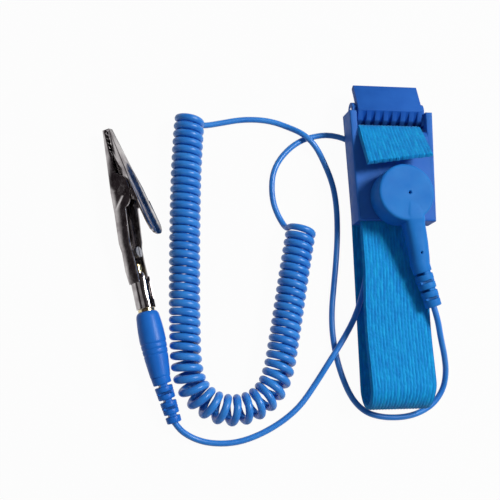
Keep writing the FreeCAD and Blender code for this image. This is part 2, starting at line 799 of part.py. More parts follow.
def banana_spring():
    """The slit sleeve round the pin, which swells to grip the clip's barrel."""
    inner = plug_pin_radius + pin_fit
    start = plug_pin_flange_thick + pin_fit
    end = start + spring_sleeve_length
    bend = spring_sleeve_length / 4
    outer = [(spring_sleeve_end, start), (spring_sleeve_radius, start + bend),
             (spring_sleeve_radius, end - bend), (spring_sleeve_end, end)]
    inside = [(max(inner, radius - spring_sleeve_wall), at) for radius, at in reversed(outer)]
    sleeve = turned(outer + inside, V(0, 0, 0), V(1, 0, 0))
    for number in range(spring_sleeve_slits):
        slit = box(start + bend / 2, end - bend / 2, 0, 2 * spring_sleeve_radius,
                   -spring_sleeve_slit / 2, spring_sleeve_slit / 2)
        slit.rotate(V(0, 0, 0), V(1, 0, 0), 360 * number / spring_sleeve_slits)
        sleeve = sleeve.cut(slit)
    return in_clip(sleeve)


def side_prism(outline, half):
    """A side outline of (along, thumb) points, as wide as 2 half."""
    return prism([V(a, b, -half) for a, b in outline], V(0, 0, 2 * half))


def plan_prism(widths, inset, low, high):
    """A plan of (along, half width) points, from low to high toward the thumb."""
    right = [V(a, low, w - inset) for a, w in widths]
    left = [V(a, low, inset - w) for a, w in reversed(widths)]
    return prism(right + left, V(0, high - low, 0))


def jaw_rim(along):
    """The line where the jaws meet, which leans toward the floor at the tip."""
    return tip_rim + (clip_length - along) * rim_slope


def body_rim(along):
    return jaw_rim(along) - rim_gap


def teeth_cuts(rim, way):
    """Notches across a rim, from just behind the tip."""
    cuts = []
    count = int((clip_length - pivot_along - body_ear_half) / 2 / tooth_pitch)
    for number in range(count):
        at = clip_length - sheet - (number + 1) * tooth_pitch
        middle = at + tooth_pitch / 2
        end = at + tooth_pitch
        cuts.append(side_prism([(at, rim(at)), (middle, rim(middle) - way * tooth_depth), (end, rim(end))],
                               body_half_width))
    return cuts


def clip_body():
    """The half with the barrel: a channel of folded sheet, with ears at the pivot and a row of teeth."""
    far = clip_length
    ear_root = pivot_above - rim_gap
    hole_end = pivot_along + body_ear_half + 1.5
    floor = [(barrel_length - sheet, -2.6), (21.0, -2.1), (28.0, -1.6), (pivot_along + 2.5, tip_floor),
             (far, tip_floor)]
    rim = [(far, body_rim(far)), (far - 8.6, body_rim(far - 8.6)), (hole_end, body_rim(hole_end) - 0.4)]
    for number in range(ear_steps + 1):
        angle = math.pi * number / ear_steps
        rim.append((pivot_along + body_ear_half * math.cos(angle),
                    ear_root + (body_ear_rise + rim_gap) * math.sin(angle)))
    rim += [(27.0, 1.9), (18.0, 1.0), (barrel_length - sheet, 1.2)]
    widths = [(barrel_length - sheet, barrel_radius), (17.0, barrel_radius + 0.1), (19.5, body_half_width),
              (pivot_along + 0.5, body_half_width), (far, tip_half_width)]
    outer = side_prism(floor + rim, body_half_width).common(plan_prism(widths, 0, -5.0, 9.0))
    shoulder = Part.makeCone(shoulder_from, shoulder_to, widths[2][0] - widths[0][0],
                             V(widths[0][0], 0, 0), V(1, 0, 0))
    rest = box(widths[2][0], far, -9.0, 9.0, -9.0, 9.0)
    outer = outer.common(fuse(shoulder, rest))
    room = [(a, b + sheet) for a, b in floor]
    room[0] = (barrel_length - 2 * sheet, floor[0][1] + sheet)
    room[-1] = (far - sheet, floor[-1][1] + sheet)
    room += [(far - sheet, 9.0), (barrel_length - 2 * sheet, 9.0)]
    inner_widths = [(barrel_length - 2 * sheet, barrel_radius)] + widths[1:]
    inner = side_prism(room, body_half_width).common(plan_prism(inner_widths, sheet, -5.0, 9.0))
    barrel = Part.makeCylinder(barrel_radius, barrel_length, V(clip_start, 0, 0), V(1, 0, 0))
    bore = Part.makeCylinder(barrel_radius - sheet, barrel_length + sheet, V(clip_start, 0, 0), V(1, 0, 0))
    mouth = box(clip_start, clip_start + barrel_length, 0, 2 * barrel_radius, -barrel_mouth, barrel_mouth)
    body = fuse(outer.cut(inner), barrel).cut(bore).cut(mouth)
    for cut in teeth_cuts(body_rim, 1):
        body = body.cut(cut)
    hole = Part.makeCylinder(pivot_radius, 2 * body_half_width, V(pivot_along, pivot_above, -body_half_width))
    screw_hole = Part.makeCylinder(screw_radius, 5.0, V(screw_along, -4.0, 0), V(0, 1, 0))
    return in_clip(body.cut(hole).cut(screw_hole))


def jaw_top(along):
    """The height of the jaw's back, a straight line from the tip to the thumb plate."""
    return jaw_tip_top + (clip_length - along) * math.tan(math.radians(jaw_slope))


def clip_jaw():
    """The half with the thumb plate: a narrower channel between the body's walls."""
    far = clip_length
    ear_low = pivot_above - jaw_ear_radius
    back = pivot_along - jaw_ear_radius
    front = pivot_along + jaw_ear_radius
    body_inner = body_half_width - sheet - clip_side_gap
    top = [(far, jaw_top(far)), (back - 2.0, jaw_top(back - 2.0))]
    walls = top + [(back, pivot_above + 0.4), (back + 0.7, ear_low + 0.5), (pivot_along - 0.6, ear_low),
                   (pivot_along + 0.6, ear_low), (front - 0.7, ear_low + 0.5), (front + 1.4, pivot_above),
                   (far - 12.5, 2.7), (far - 9.5, jaw_rim(far - 9.5)), (far, tip_rim)]
    widths = [(back - 2.5, body_inner), (pivot_along + 0.5, body_inner), (far - 12.5, 1.85),
              (far, tip_half_width - 0.1)]
    outer = side_prism(walls, body_half_width).common(plan_prism(widths, 0, -3.0, 12.0))
    room = [(far - sheet, jaw_top(far - sheet) - sheet), (back - 3.0, jaw_top(back - 3.0) - sheet),
            (back - 3.0, -3.0), (far - sheet, -3.0)]
    inner = side_prism(room, body_half_width).common(
        plan_prism([(back - 3.0, body_inner)] + widths[1:], sheet, -3.0, 12.0))
    jaw = outer.cut(inner)
    plate_back = thumb_end + thumb_half_width
    slab = [(back + 1.0, jaw_top(back + 1.0)), (thumb_end, jaw_top(thumb_end)),
            (thumb_end, jaw_top(thumb_end) - sheet), (back + 1.0, jaw_top(back + 1.0) - sheet)]
    plan = fuse(box(plate_back, back - 1.5, 0, 14.0, -thumb_half_width, thumb_half_width),
                Part.makeCylinder(thumb_half_width, 14.0, V(plate_back, 0, 0), V(0, 1, 0)),
                box(plate_back, back + 1.0, 0, 14.0, -body_inner, body_inner))
    jaw = fuse(jaw, side_prism(slab, body_half_width).common(plan))
    for cut in teeth_cuts(jaw_rim, -1):
        jaw = jaw.cut(cut)
    hole = Part.makeCylinder(pivot_radius + pin_fit, 2 * body_half_width,
                             V(pivot_along, pivot_above, -body_half_width))
    return in_clip(jaw.cut(hole))


def clip_pivot():
    """The rivet through both ears."""
    half = body_half_width
    pin = Part.makeCylinder(pivot_radius, 2 * half, V(pivot_along, pivot_above, -half))
    heads = [Part.makeCylinder(pivot_head, pivot_head_thick, V(pivot_along, pivot_above, at))
             for at in (-half - pivot_head_thick, half)]
    return in_clip(fuse(pin, *heads))


def terminal_screw():
    """The screw in the floor of the channel, for a bare wire."""
    floor = -2.3
    shank = Part.makeCylinder(screw_radius, 3.4, V(screw_along, floor, 0), V(0, 1, 0))
    head = Part.makeCylinder(screw_head_radius, screw_head_thick, V(screw_along, floor + 3.0, 0), V(0, 1, 0))
    slot = box(screw_along - screw_head_radius, screw_along + screw_head_radius,
               floor + 3.0 + screw_head_thick / 2, floor + 3.0 + screw_head_thick, -0.2, 0.2)
    return in_clip(fuse(shank, head).cut(slot))


def biarc(first, first_way, last, last_way):
    """Two arcs between two points, tangent to the given directions."""
    chord = last - first
    ways = first_way + last_way
    spread = 2 * (1 - first_way.dot(last_way))
    reach = (-chord.dot(ways) + math.sqrt(chord.dot(ways) ** 2 + spread * chord.dot(chord))) / spread
    first_corner = first + first_way * reach
    last_corner = last - last_way * reach
    middle = (first_corner + last_corner) / 2
    return [arc_edge(first, first_corner, middle), arc_edge(middle, last_corner, last)]


def least_gap(places, diameter, reach):
    """The least distance between stretches of a wound wire that are more than reach apart along it."""
    least = 1e9
    for index, place in enumerate(places):
        for other in range(index + reach, min(len(places), index + 6 * reach)):
            least = min(least, (place - places[other]).Length)
    return least - diameter


def clip_spring():
    """A torsion spring round the pivot, with one leg on the body's floor and one under the thumb plate."""
    centre = V(pivot_along, pivot_above, -spring_pitch * (spring_full_turns + 0.4) / 2)
    leg = 6.5
    low_turn = math.radians(4.7)
    high_turn = math.radians(160.5)
    first = low_turn - math.pi / 2
    total = high_turn - low_turn + 2 * math.pi * spring_full_turns
    quarters = 4 * spring_full_turns + 2
    climb = spring_pitch / (2 * math.pi)

    def place(turn):
        angle = first + turn
        return centre + V(spring_radius * math.cos(angle), spring_radius * math.sin(angle), climb * turn)

    def way(turn):
        angle = first + turn
        rise = climb if 0 < turn < total else 0
        return V(-spring_radius * math.sin(angle), spring_radius * math.cos(angle), rise).normalize()

    edges = [Part.makeLine(place(0) - way(0) * leg, place(0))]
    for number in range(quarters):
        here = total * number / quarters
        there = total * (number + 1) / quarters
        edges += biarc(place(here), way(here), place(there), way(there))
    edges.append(Part.makeLine(place(total), place(total) + way(total) * (leg + 1.5)))
    spots = [place(total * number / 200) for number in range(201)]
    print("clip_spring least gap %.2f" % least_gap(spots, 2 * spring_wire, 40))
    return in_clip(swept(edges, spring_wire, way(0)))


def coil_axis():
    """The middle line of the curly cord, as edges with their lengths."""
    points = [V(x, y, coil_level) for x, y in coil_route]
    edges, _ = rounded_path(points)
    return edges


def axis_frame(edges, along):
    """The point, the direction and the left side of the middle line at a length along it."""
    for edge in edges:
        if along <= edge.Length or edge is edges[-1]:
            parameter = edge.getParameterByLength(min(along, edge.Length))
            way = edge.tangentAt(parameter)
            return edge.valueAt(parameter), way, V(-way.y, way.x, 0)
        along -= edge.Length


def coil_pitch(share):
    """The pitch opens smoothly round the bend, which lies between two shares of the length."""
    bend = math.sin(math.pi * min(1.0, max(0.0, (share - 0.42) / 0.34))) ** 0.6
    return coil_pitch_arm + (coil_pitch_bend - coil_pitch_arm) * bend


def curly_cord():
    """One unbroken helix round the middle line, straight for one diameter at each end."""
    edges = coil_axis()
    length = sum(edge.Length for edge in edges)
    steps = 2000
    turned_by = [0.0]
    for step in range(steps):
        turned_by.append(turned_by[-1] + length / steps / coil_pitch((step + 0.5) / steps))
    scale = (coil_turns + 0.5) / turned_by[-1]
    print("curly_cord turns by pitch %.2f, used %.1f" % (turned_by[-1], coil_turns + 0.5))

    def place(turns):
        low = 0
        high = steps
        while high - low > 1:
            middle = (low + high) // 2
            if turned_by[middle] * scale <= turns:
                low = middle
            else:
                high = middle
        span = (turned_by[high] - turned_by[low]) * scale
        along = length * (low + min(1.0, (turns - turned_by[low] * scale) / span)) / steps
        point, _, left = axis_frame(edges, along)
        angle = -math.pi / 2 - 2 * math.pi * turns
        return point + left * coil_radius * math.cos(angle) + V(0, 0, coil_radius * math.sin(angle))

    total = coil_turns + 0.5

    def way(turns):
        nudge = 0.002
        return (place(min(total, turns + nudge)) - place(max(0.0, turns - nudge))).normalize()

    ends = [place(0) - way(0) * cord_diameter, place(total) + way(total) * cord_diameter]
    print("curly_cord from", [round(v, 3) for v in ends[0]], "to", [round(v, 3) for v in ends[1]])
    path = [Part.makeLine(ends[0], place(0))]
    quarters = 4 * coil_turns + 2
    for number in range(quarters):
        here = total * number / quarters
        there = total * (number + 1) / quarters
        path += biarc(place(here), way(here), place(there), way(there))
    path.append(Part.makeLine(place(total), ends[1]))
    spots = [place(total * number / (quarters * 6)) for number in range(quarters * 6 + 1)]
    print("curly_cord least gap %.2f" % least_gap(spots, cord_diameter, 12))
    tube = swept(path, cord_radius, way(0))
    wire_length = sum(edge.Length for edge in path)
    print("curly_cord wire %.0f volume share %.4f valid %s lowest %.3f" %
          (wire_length, tube.Volume / (math.pi * cord_radius ** 2 * wire_length), tube.isValid(),
           tube.BoundBox.ZMin))
    return tube


makers = [
    elastic_band, buckle_frame, anchor_pin, clasp_lever, clasp_pin, skin_plate, snap_stud, stud_rivet,
    snap_ring, snap_socket, cap_insert, cap_rivet, snap_cap, resistor_body, resistor_leads, snap_relief,
    plug_relief, plug_grip, plug_wire, banana_pin, banana_spring, clip_body, clip_jaw, clip_pivot,
    clip_spring, terminal_screw, curly_cord,
]
cords = {"cord_lead": lead_from_cap(), "cord_to_snap": snap_route, "cord_to_plug": plug_route}

os.makedirs("parts", exist_ok=True)
nodes = {maker.__name__: maker() for maker in makers}
for name, route in cords.items():
    nodes[name] = free_cord(name, route)
for name, shape in nodes.items():
    size = shape.BoundBox
    print("%-16s solids %d valid %s volume %.2f  x %.2f %.2f  y %.2f %.2f  z %.2f %.2f" % (
        name, len(shape.Solids), shape.isValid(), shape.Volume, size.XMin, size.XMax, size.YMin, size.YMax,
        size.ZMin, size.ZMax))
    shape.exportStep("parts/" + name + ".step")
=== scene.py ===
# %% [markdown]
# An antistatic wrist strap. An elastic knitted band goes round the wrist and is clamped in a
# moulded buckle. A soft cap snaps on a stud on the buckle, and a thin cord runs from it through
# a long curly stretch to a plug, on which a crocodile clip sits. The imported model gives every
# part's place, so it is loaded first and nothing in it is moved. Each later cell either gives
# one of its parts a finish or makes a softer, fuller piece that stands for it.

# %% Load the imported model
import json
import math

import bmesh
import bpy
from mathutils import Matrix, Vector, noise


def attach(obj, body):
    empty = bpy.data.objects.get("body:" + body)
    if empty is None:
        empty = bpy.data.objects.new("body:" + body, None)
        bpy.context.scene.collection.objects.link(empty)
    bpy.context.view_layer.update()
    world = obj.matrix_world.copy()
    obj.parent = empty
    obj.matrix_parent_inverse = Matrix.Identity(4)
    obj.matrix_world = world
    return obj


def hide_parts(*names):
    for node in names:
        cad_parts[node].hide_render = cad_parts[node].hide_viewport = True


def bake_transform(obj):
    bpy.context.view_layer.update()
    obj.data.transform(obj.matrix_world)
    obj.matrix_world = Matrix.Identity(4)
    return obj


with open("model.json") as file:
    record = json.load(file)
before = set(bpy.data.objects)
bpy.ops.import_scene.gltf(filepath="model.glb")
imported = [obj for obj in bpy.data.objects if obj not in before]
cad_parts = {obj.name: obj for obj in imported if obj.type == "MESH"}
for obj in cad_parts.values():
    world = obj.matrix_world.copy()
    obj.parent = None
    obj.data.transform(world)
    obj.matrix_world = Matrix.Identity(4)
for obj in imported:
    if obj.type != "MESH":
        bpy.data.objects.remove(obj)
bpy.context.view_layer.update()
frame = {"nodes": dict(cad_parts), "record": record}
MM = 0.001

# %% [markdown]
# The camera comes first, because everything else is judged through it. The strap is seen from
# almost straight above, from a little to the left and from the near end, so the buckle's left
# wall shows. The camera stands close, so things that stand up lean outwards in the picture.
# A perspective camera at the real distance gives that lean, and a narrow lens would lose it.

# %% Camera
LENS = 75.6
DISTANCE = 300 * MM
NEAREST_SEEN = 10 * MM
LEAN_LEFT = math.radians(12)
LEAN_NEAR = math.radians(11)
ROLL = math.radians(2)
AIM = Vector((-40.9, -0.9, 0)) * MM


def place_camera():
    back = Vector((-math.tan(LEAN_LEFT), -math.tan(LEAN_NEAR), 1)).normalized()
    right = Vector((math.sin(ROLL), math.cos(ROLL), 0)).cross(back).normalized()
    up = back.cross(right)
    camera = bpy.data.objects.new("camera", bpy.data.cameras.new("camera"))
    camera.data.lens = LENS
    camera.data.clip_start = NEAREST_SEEN
    camera.matrix_world = Matrix.Translation(AIM + back * DISTANCE) @ Matrix(
        (right, up, back)).transposed().to_4x4()
    bpy.context.scene.collection.objects.link(camera)
    bpy.context.scene.camera = camera
    return camera


camera = place_camera()
bpy.context.scene.view_settings.view_transform = "Standard"
print("camera at mm", [round(v / MM) for v in camera.location])

# %% [markdown]
# Every finish below is a small tree of shader nodes. These helpers keep the trees short: one
# adds a node and sets its numbers, and the others return the output that the next node needs.
# A socket is fed either by a link from another node or by a plain value, so one helper does
# both.

# %% Helpers for node trees
def add_node(tree, kind, **inputs):
    node = tree.nodes.new("ShaderNode" + kind)
    for socket, value in inputs.items():
        node.inputs[socket.replace("_", " ")].default_value = value
    return node


def link_nodes(tree, *pairs):
    for source, target in pairs:
        tree.links.new(source, target)


def feed(tree, socket, value):
    """Links another node's output to a socket, or writes a plain value in it."""
    if isinstance(value, bpy.types.NodeSocket):
        tree.links.new(value, socket)
    else:
        socket.default_value = value


def math_of(tree, operation, *values):
    node = add_node(tree, "Math")
    node.operation = operation
    for socket, value in zip(node.inputs, values):
        feed(tree, socket, value)
    return node.outputs[0]


def mix_colours(tree, share, first, second, blend="MIX"):
    """Mixes two colours; under MULTIPLY the second one darkens the first."""
    node = add_node(tree, "Mix")
    node.data_type = "RGBA"
    node.blend_type = blend
    for socket, value in (("Factor", share), ("A", first), ("B", second)):
        feed(tree, node.inputs[socket], value)
    return node.outputs["Result"]


def ramp_from(tree, value, *stops):
    ramp = add_node(tree, "ValToRGB")
    steps = ramp.color_ramp.elements
    while len(steps) < len(stops):
        steps.new(0.5)
    for step, (position, colour) in zip(steps, stops):
        step.position = position
        step.color = colour if isinstance(colour, tuple) else (colour, colour, colour, 1)
    tree.links.new(value, ramp.inputs[0])
    return ramp.outputs[0]


# %% [markdown]
# The strap lies on a white sheet. A floor that is white in colour would grey in the corners of
# the picture, so the floor shows its own even white to the camera and still takes the shadows:
# its colour is mixed from a lit surface and a plain white one. The lit part is grey, because a
# white one would throw too much light up under the strap.

# %% Floor
WHITE = (1, 1, 1, 1)
FLOOR_SIZE = 40.0
FLOOR_GREY = (0.35, 0.35, 0.35, 1)
FLOOR_ROUGH = 0.7
FLOOR_GLOW_SHARE = 0.965


def white_sheet():
    finish = bpy.data.materials.new("white_sheet")
    finish.use_nodes = True
    tree = finish.node_tree
    shader = tree.nodes["Principled BSDF"]
    shader.inputs["Base Color"].default_value = FLOOR_GREY
    shader.inputs["Roughness"].default_value = FLOOR_ROUGH
    glow = add_node(tree, "Emission", Color=WHITE)
    rays = add_node(tree, "LightPath")
    seen = math_of(tree, "MAXIMUM", rays.outputs["Is Camera Ray"], rays.outputs["Is Glossy Ray"])
    share = math_of(tree, "MULTIPLY", seen, FLOOR_GLOW_SHARE)
    mix = add_node(tree, "MixShader")
    link_nodes(tree, (share, mix.inputs[0]), (shader.outputs[0], mix.inputs[1]),
               (glow.outputs[0], mix.inputs[2]),
               (mix.outputs[0], tree.nodes["Material Output"].inputs["Surface"]))
    return finish


def lay_floor():
    bm = bmesh.new()
    bmesh.ops.create_grid(bm, x_segments=1, y_segments=1, size=FLOOR_SIZE / 2)
    mesh = bpy.data.meshes.new("floor")
    bm.to_mesh(mesh)
    bm.free()
    mesh.materials.append(white_sheet())
    floor = bpy.data.objects.new("floor", mesh)
    bpy.context.scene.collection.objects.link(floor)


lay_floor()
print("floor m", FLOOR_SIZE, "white share", FLOOR_GLOW_SHARE)

# %% [markdown]
# The world is the pale room round the sheet. It is plain white to the camera. The metal clip
# needs something dark to mirror, or it would look like paper, so to glossy rays the room is
# white only near the horizon and dark overhead. The light it gives is faint and a little blue.

# %% Room
ROOM_LIGHT = 0.22
ROOM_TINT = (0.74, 0.87, 1, 1)
ROOM_DARK = (0.035, 0.028, 0.032, 1)
WHITE_BELOW = 0.10
DARK_ABOVE = 0.32


def pale_room():
    world = bpy.data.worlds.new("pale_room")
    bpy.context.scene.world = world
    world.use_nodes = True
    tree = world.node_tree
    lit = tree.nodes["Background"]
    lit.inputs["Color"].default_value = ROOM_TINT
    lit.inputs["Strength"].default_value = ROOM_LIGHT
    place = add_node(tree, "TexCoord")
    split = add_node(tree, "SeparateXYZ")
    tree.links.new(place.outputs["Generated"], split.inputs[0])
    mirrored = ramp_from(tree, split.outputs["Z"], (WHITE_BELOW, WHITE), (DARK_ABOVE, ROOM_DARK))
    rays = add_node(tree, "LightPath")
    camera_ray = rays.outputs["Is Camera Ray"]
    seen = add_node(tree, "Background", Strength=1.0)
    tree.links.new(mix_colours(tree, camera_ray, mirrored, WHITE), seen.inputs["Color"])
    share = math_of(tree, "MAXIMUM", camera_ray, rays.outputs["Is Glossy Ray"])
    share = math_of(tree, "MAXIMUM", share, rays.outputs["Is Transmission Ray"])
    mix = add_node(tree, "MixShader")
    link_nodes(tree, (share, mix.inputs[0]), (lit.outputs[0], mix.inputs[1]),
               (seen.outputs[0], mix.inputs[2]),
               (mix.outputs[0], tree.nodes["World Output"].inputs["Surface"]))


pale_room()
print("room light", ROOM_LIGHT)

# %% [markdown]
# The lamps are discs, so the shadows have soft edges. The key lamp stands to the right and on
# the far side, since the photograph's right faces are the bright ones. The fill lamp is wide
# and faint, and only keeps the left faces from going black.

# %% Lamps
LAMPS = [
    ("key_lamp", (0.42, 0.16, 0.66), 0.26, 5.6),
    ("fill_lamp", (-0.45, -0.30, 0.70), 0.50, 0.25),
]


def soft_lamp(name, place, size, power):
    lamp = bpy.data.objects.new(name, bpy.data.lights.new(name, "AREA"))
    lamp.data.shape = "DISK"
    lamp.data.size = size
    lamp.data.energy = power
    lamp.location = Vector(place)
    lamp.rotation_euler = (AIM - lamp.location).to_track_quat("-Z", "Y").to_euler()
    bpy.context.scene.collection.objects.link(lamp)
    print(name, "m away", round((AIM - lamp.location).length, 2), "watts", power)


for lamp in LAMPS:
    soft_lamp(*lamp)

# %% [markdown]
# The finishes share one pattern. A noise in the object's own coordinates varies the colour a
# little, a second one varies how polished the surface is, and a fine one gives the tiny
# unevenness of a moulded or rolled surface. The colours are written as the screen values that
# a picture editor shows, and turned into the linear values that a shader needs.

# %% Helpers for finishes
def screen(red, green, blue):
    parts = [v / 255 for v in (red, green, blue)]
    return (*[v / 12.92 if v <= 0.04045 else ((v + 0.055) / 1.055) ** 2.4 for v in parts], 1)


def new_finish(name, **sockets):
    finish = bpy.data.materials.new(name)
    finish.use_nodes = True
    shader = finish.node_tree.nodes["Principled BSDF"]
    for socket, value in sockets.items():
        shader.inputs[socket.replace("_", " ")].default_value = value
    return finish, finish.node_tree, shader


def own_place(tree, stretch=(1, 1, 1)):
    place = add_node(tree, "TexCoord")
    mapping = add_node(tree, "Mapping", Scale=stretch)
    tree.links.new(place.outputs["Object"], mapping.inputs["Vector"])
    return mapping.outputs["Vector"]


def noise_from(tree, place, scale, detail=2.0, rough=0.5):
    made = add_node(tree, "TexNoise", Scale=scale, Detail=detail, Roughness=rough)
    tree.links.new(place, made.inputs["Vector"])
    return made.outputs["Fac"]


def bump_from(tree, shader, height, strength, distance, under=None):
    bump = add_node(tree, "Bump", Strength=strength, Distance=distance)
    tree.links.new(height, bump.inputs["Height"])
    if under is not None:
        tree.links.new(under, bump.inputs["Normal"])
    tree.links.new(bump.outputs[0], shader.inputs["Normal"])
    return bump.outputs[0]


# %% [markdown]
# Blender can tell from the mesh how sharply it turns at each place, and calls it pointiness:
# 0.5 is flat, more is an outward edge and less is a crease. Edges are painted paler, partly as
# the wear of handled plastic and partly as a painted highlight, and a narrow slot gets painted
# shade at its bottom, so both are drawn from that one value.

# %% Pale edges, partly wear and partly painted highlight, and painted shade in creases
EDGE_STARTS, EDGE_FULL, EDGE_SHARE = 0.52, 0.60, 0.5
CREASE_SHADE_FULL, CREASE_SHADE_STARTS = 0.40, 0.49


def wear_and_highlight_edge(tree, colour, pale):
    """Mixes a paler colour in where the mesh turns sharply outwards, partly as wear and partly as a
    painted highlight.
    """
    turning = add_node(tree, "NewGeometry").outputs["Pointiness"]
    where = ramp_from(tree, turning, (EDGE_STARTS, 0.0), (EDGE_FULL, EDGE_SHARE))
    return mix_colours(tree, where, colour, pale)


def painted_crease_shade(tree, colour, depth):
    """Paints shade in: darkens the colour where the mesh turns sharply inwards, as in a slot or a
    groove.
    """
    turning = add_node(tree, "NewGeometry").outputs["Pointiness"]
    shade = ramp_from(tree, turning, (CREASE_SHADE_FULL, 1 - depth), (CREASE_SHADE_STARTS, 1.0))
    return mix_colours(tree, 1.0, colour, shade, "MULTIPLY")


# %% [markdown]
# The buckle is hard moulded plastic, the cap and the grip are softer and rubbery, and the
# cord's jacket is smooth. They are four blues of one recipe that differ in colour, in polish
# and in how much of the light they mirror. The dark insert under the cap and the resistor's
# lacquer follow the same recipe.

# %% Moulded and rubbery blues
CLOUDS, POLISH_SPOTS, FINE_GRAIN = 160, 420, 2600
LESS_ROUGH, MORE_ROUGH = 0.05, 0.06
GRAIN_DEPTH = 0.1 * MM


def moulded(name, dark, light, polish, grain, edge=None, crease_shade=0.0, gloss=0.12):
    """A moulded plastic: cloudy colour, uneven polish, fine grain."""
    finish, tree, shader = new_finish(name, Specular_IOR_Level=gloss)
    place = own_place(tree)
    colour = ramp_from(tree, noise_from(tree, place, CLOUDS, 3), (0.3, dark), (0.7, light))
    if edge:
        colour = wear_and_highlight_edge(tree, colour, edge)
    if crease_shade:
        colour = painted_crease_shade(tree, colour, crease_shade)
    shine = ramp_from(tree, noise_from(tree, place, POLISH_SPOTS, 4),
                      (0.3, polish - LESS_ROUGH), (0.7, polish + MORE_ROUGH))
    link_nodes(tree, (colour, shader.inputs["Base Color"]), (shine, shader.inputs["Roughness"]))
    bump_from(tree, shader, noise_from(tree, place, FINE_GRAIN, 3), grain, GRAIN_DEPTH)
    return finish


finishes = {
    # The buckle's paler edge colour is partly wear and partly a painted highlight.
    "buckle_blue": moulded("buckle_blue", screen(22, 82, 172), screen(34, 96, 186), 0.52, 0.10,
                           edge=screen(66, 130, 212)),
    # The cap and the grip get painted shade in their slots and grooves.
    "cap_blue": moulded("cap_blue", screen(30, 116, 200), screen(40, 128, 208), 0.52, 0.08,
                        crease_shade=0.75),
    "grip_blue": moulded("grip_blue", screen(24, 106, 204), screen(34, 118, 214), 0.38, 0.08,
                         crease_shade=0.75, gloss=0.25),
    "cord_blue": moulded("cord_blue", screen(40, 124, 214), screen(56, 142, 226), 0.34, 0.05,
                         gloss=0.5),
    "hard_insert": moulded("hard_insert", screen(28, 28, 32), screen(40, 40, 44), 0.45, 0.10),
    "resistor_paint": moulded("resistor_paint", screen(206, 186, 142), screen(222, 204, 160),
                              0.3, 0.05),
}
print("moulded finishes", sorted(finishes))

# %% [markdown]
# The lever is the same plastic as the buckle. Its low front edge lies deep between the teeth
# and the band, where little light comes, so a copy of the buckle's finish is darkened there by
# the distance along the strap.

# %% The lever's finish, with painted shade
DEEP_FROM, DEEP_TO = 35.55 * MM, 35.95 * MM
DEEP_SHADE = 0.45


def lever_finish_with_painted_shade():
    finish = finishes["buckle_blue"].copy()
    finish.name = "lever_blue_painted_shade"
    tree = finish.node_tree
    base = tree.nodes["Principled BSDF"].inputs["Base Color"]
    blue = base.links[0].from_socket
    split = add_node(tree, "SeparateXYZ")
    tree.links.new(own_place(tree), split.inputs[0])
    # Painted shade: the colour is darker towards the lever's low front edge.
    deep = add_node(tree, "MapRange", From_Min=DEEP_FROM, From_Max=DEEP_TO, To_Min=DEEP_SHADE)
    tree.links.new(split.outputs["Y"], deep.inputs["Value"])
    tree.links.new(mix_colours(tree, 1.0, blue, deep.outputs["Result"], "MULTIPLY"), base)
    return finish


# %% [markdown]
# The clip is pressed from thin nickel plated sheet, the pins and springs are steel, and the
# plug's core is brass under a thin flash of nickel. Metal takes nearly all its look from what
# it mirrors, so the polish is more uneven than on plastic. Drawn steel is streaked one way,
# which comes from squeezing the noise along the other two axes.

# %% Metals
METAL_CLOUDS, METAL_SPOTS, METAL_GRAIN = 300, 900, 3000
DULL_SPOTS = 0.18
ROLLED_DEPTH = 0.05 * MM


def metal(name, dark, light, polish, streak=(1, 1, 1), grain=0.06):
    """A metal whose polish is uneven, with streaks along one axis if it is brushed."""
    finish, tree, shader = new_finish(name, Metallic=1.0)
    place = own_place(tree, streak)
    colour = ramp_from(tree, noise_from(tree, place, METAL_CLOUDS, 4), (0.3, dark), (0.7, light))
    shine = ramp_from(tree, noise_from(tree, place, METAL_SPOTS, 5, 0.6),
                      (0.3, polish), (0.75, polish + DULL_SPOTS))
    link_nodes(tree, (colour, shader.inputs["Base Color"]), (shine, shader.inputs["Roughness"]))
    bump_from(tree, shader, noise_from(tree, place, METAL_GRAIN, 2), grain, ROLLED_DEPTH)
    return finish


finishes["nickel"] = metal("nickel", screen(136, 130, 132), screen(198, 194, 194), 0.08)
finishes["steel"] = metal("steel", screen(176, 176, 180), screen(212, 212, 214), 0.22,
                          (1, 12, 12), 0.12)
finishes["brass_pin"] = metal("brass_pin", screen(196, 178, 130), screen(222, 208, 170), 0.14)
finishes["copper"] = metal("copper", screen(190, 120, 84), screen(218, 156, 120), 0.2)

for part in frame["record"]["subparts"]:
    mesh = frame["nodes"][part["node"]].data
    mesh.materials.clear()
    if part["material_slot"] in finishes:
        mesh.materials.append(finishes[part["material_slot"]])
print("finishes", sorted(finishes))

# %% [markdown]
# The cord is one long thin lead. From the cap it drops to the table, passes round the fold of
# the band, runs up the far side and swings over to the top of the coil. It could be drawn as a
# mesh, but a spline keeps an even thickness and a smooth line by itself. Each route below is a
# short list of points by which the cord lies, and a NURBS spline of order three rounds them off.

# %% The routes of the cord
CORD_THICK = 1.7 * MM
ROUND_STEPS = 5
lead_route = [
    (7.866, -19.471, 14.2), (8.93, -22.91, 13.885), (10.4, -28.0, 11.5), (12.6, -32.5, 8.0),
    (14.4, -37.0, 4.0), (14.3, -41.4, 1.5), (11.8, -45.2, 0.9), (8.16, -47.6, 0.9),
    (6.0, -48.325, 0.9),
]
snap_route = [
    (6.0, -48.325, 0.9), (3.84, -49.05, 0.9), (-0.7, -49.4, 0.9), (-5.3, -49.0, 0.9),
    (-9.7, -47.5, 0.9), (-13.4, -43.5, 0.9), (-16.0, -36.8, 0.9), (-17.4, -30.5, 0.9),
    (-18.0, -24.2, 0.9), (-17.8, -18.4, 0.9), (-16.9, -12.0, 0.9), (-15.8, -4.4, 0.9),
    (-14.95, 3.5, 0.9), (-14.75, 11.9, 0.9), (-15.6, 18.8, 0.9), (-17.9, 25.2, 0.9),
    (-21.0, 29.8, 3.1), (-24.5, 33.2, 3.1), (-28.6, 35.8, 0.9), (-32.8, 37.2, 0.9),
    (-37.4, 37.75, 0.9), (-42.6, 37.55, 0.9), (-48.2, 36.4, 0.9), (-53.1, 35.39, 0.9),
    (-56.35, 35.399, 0.889),
]
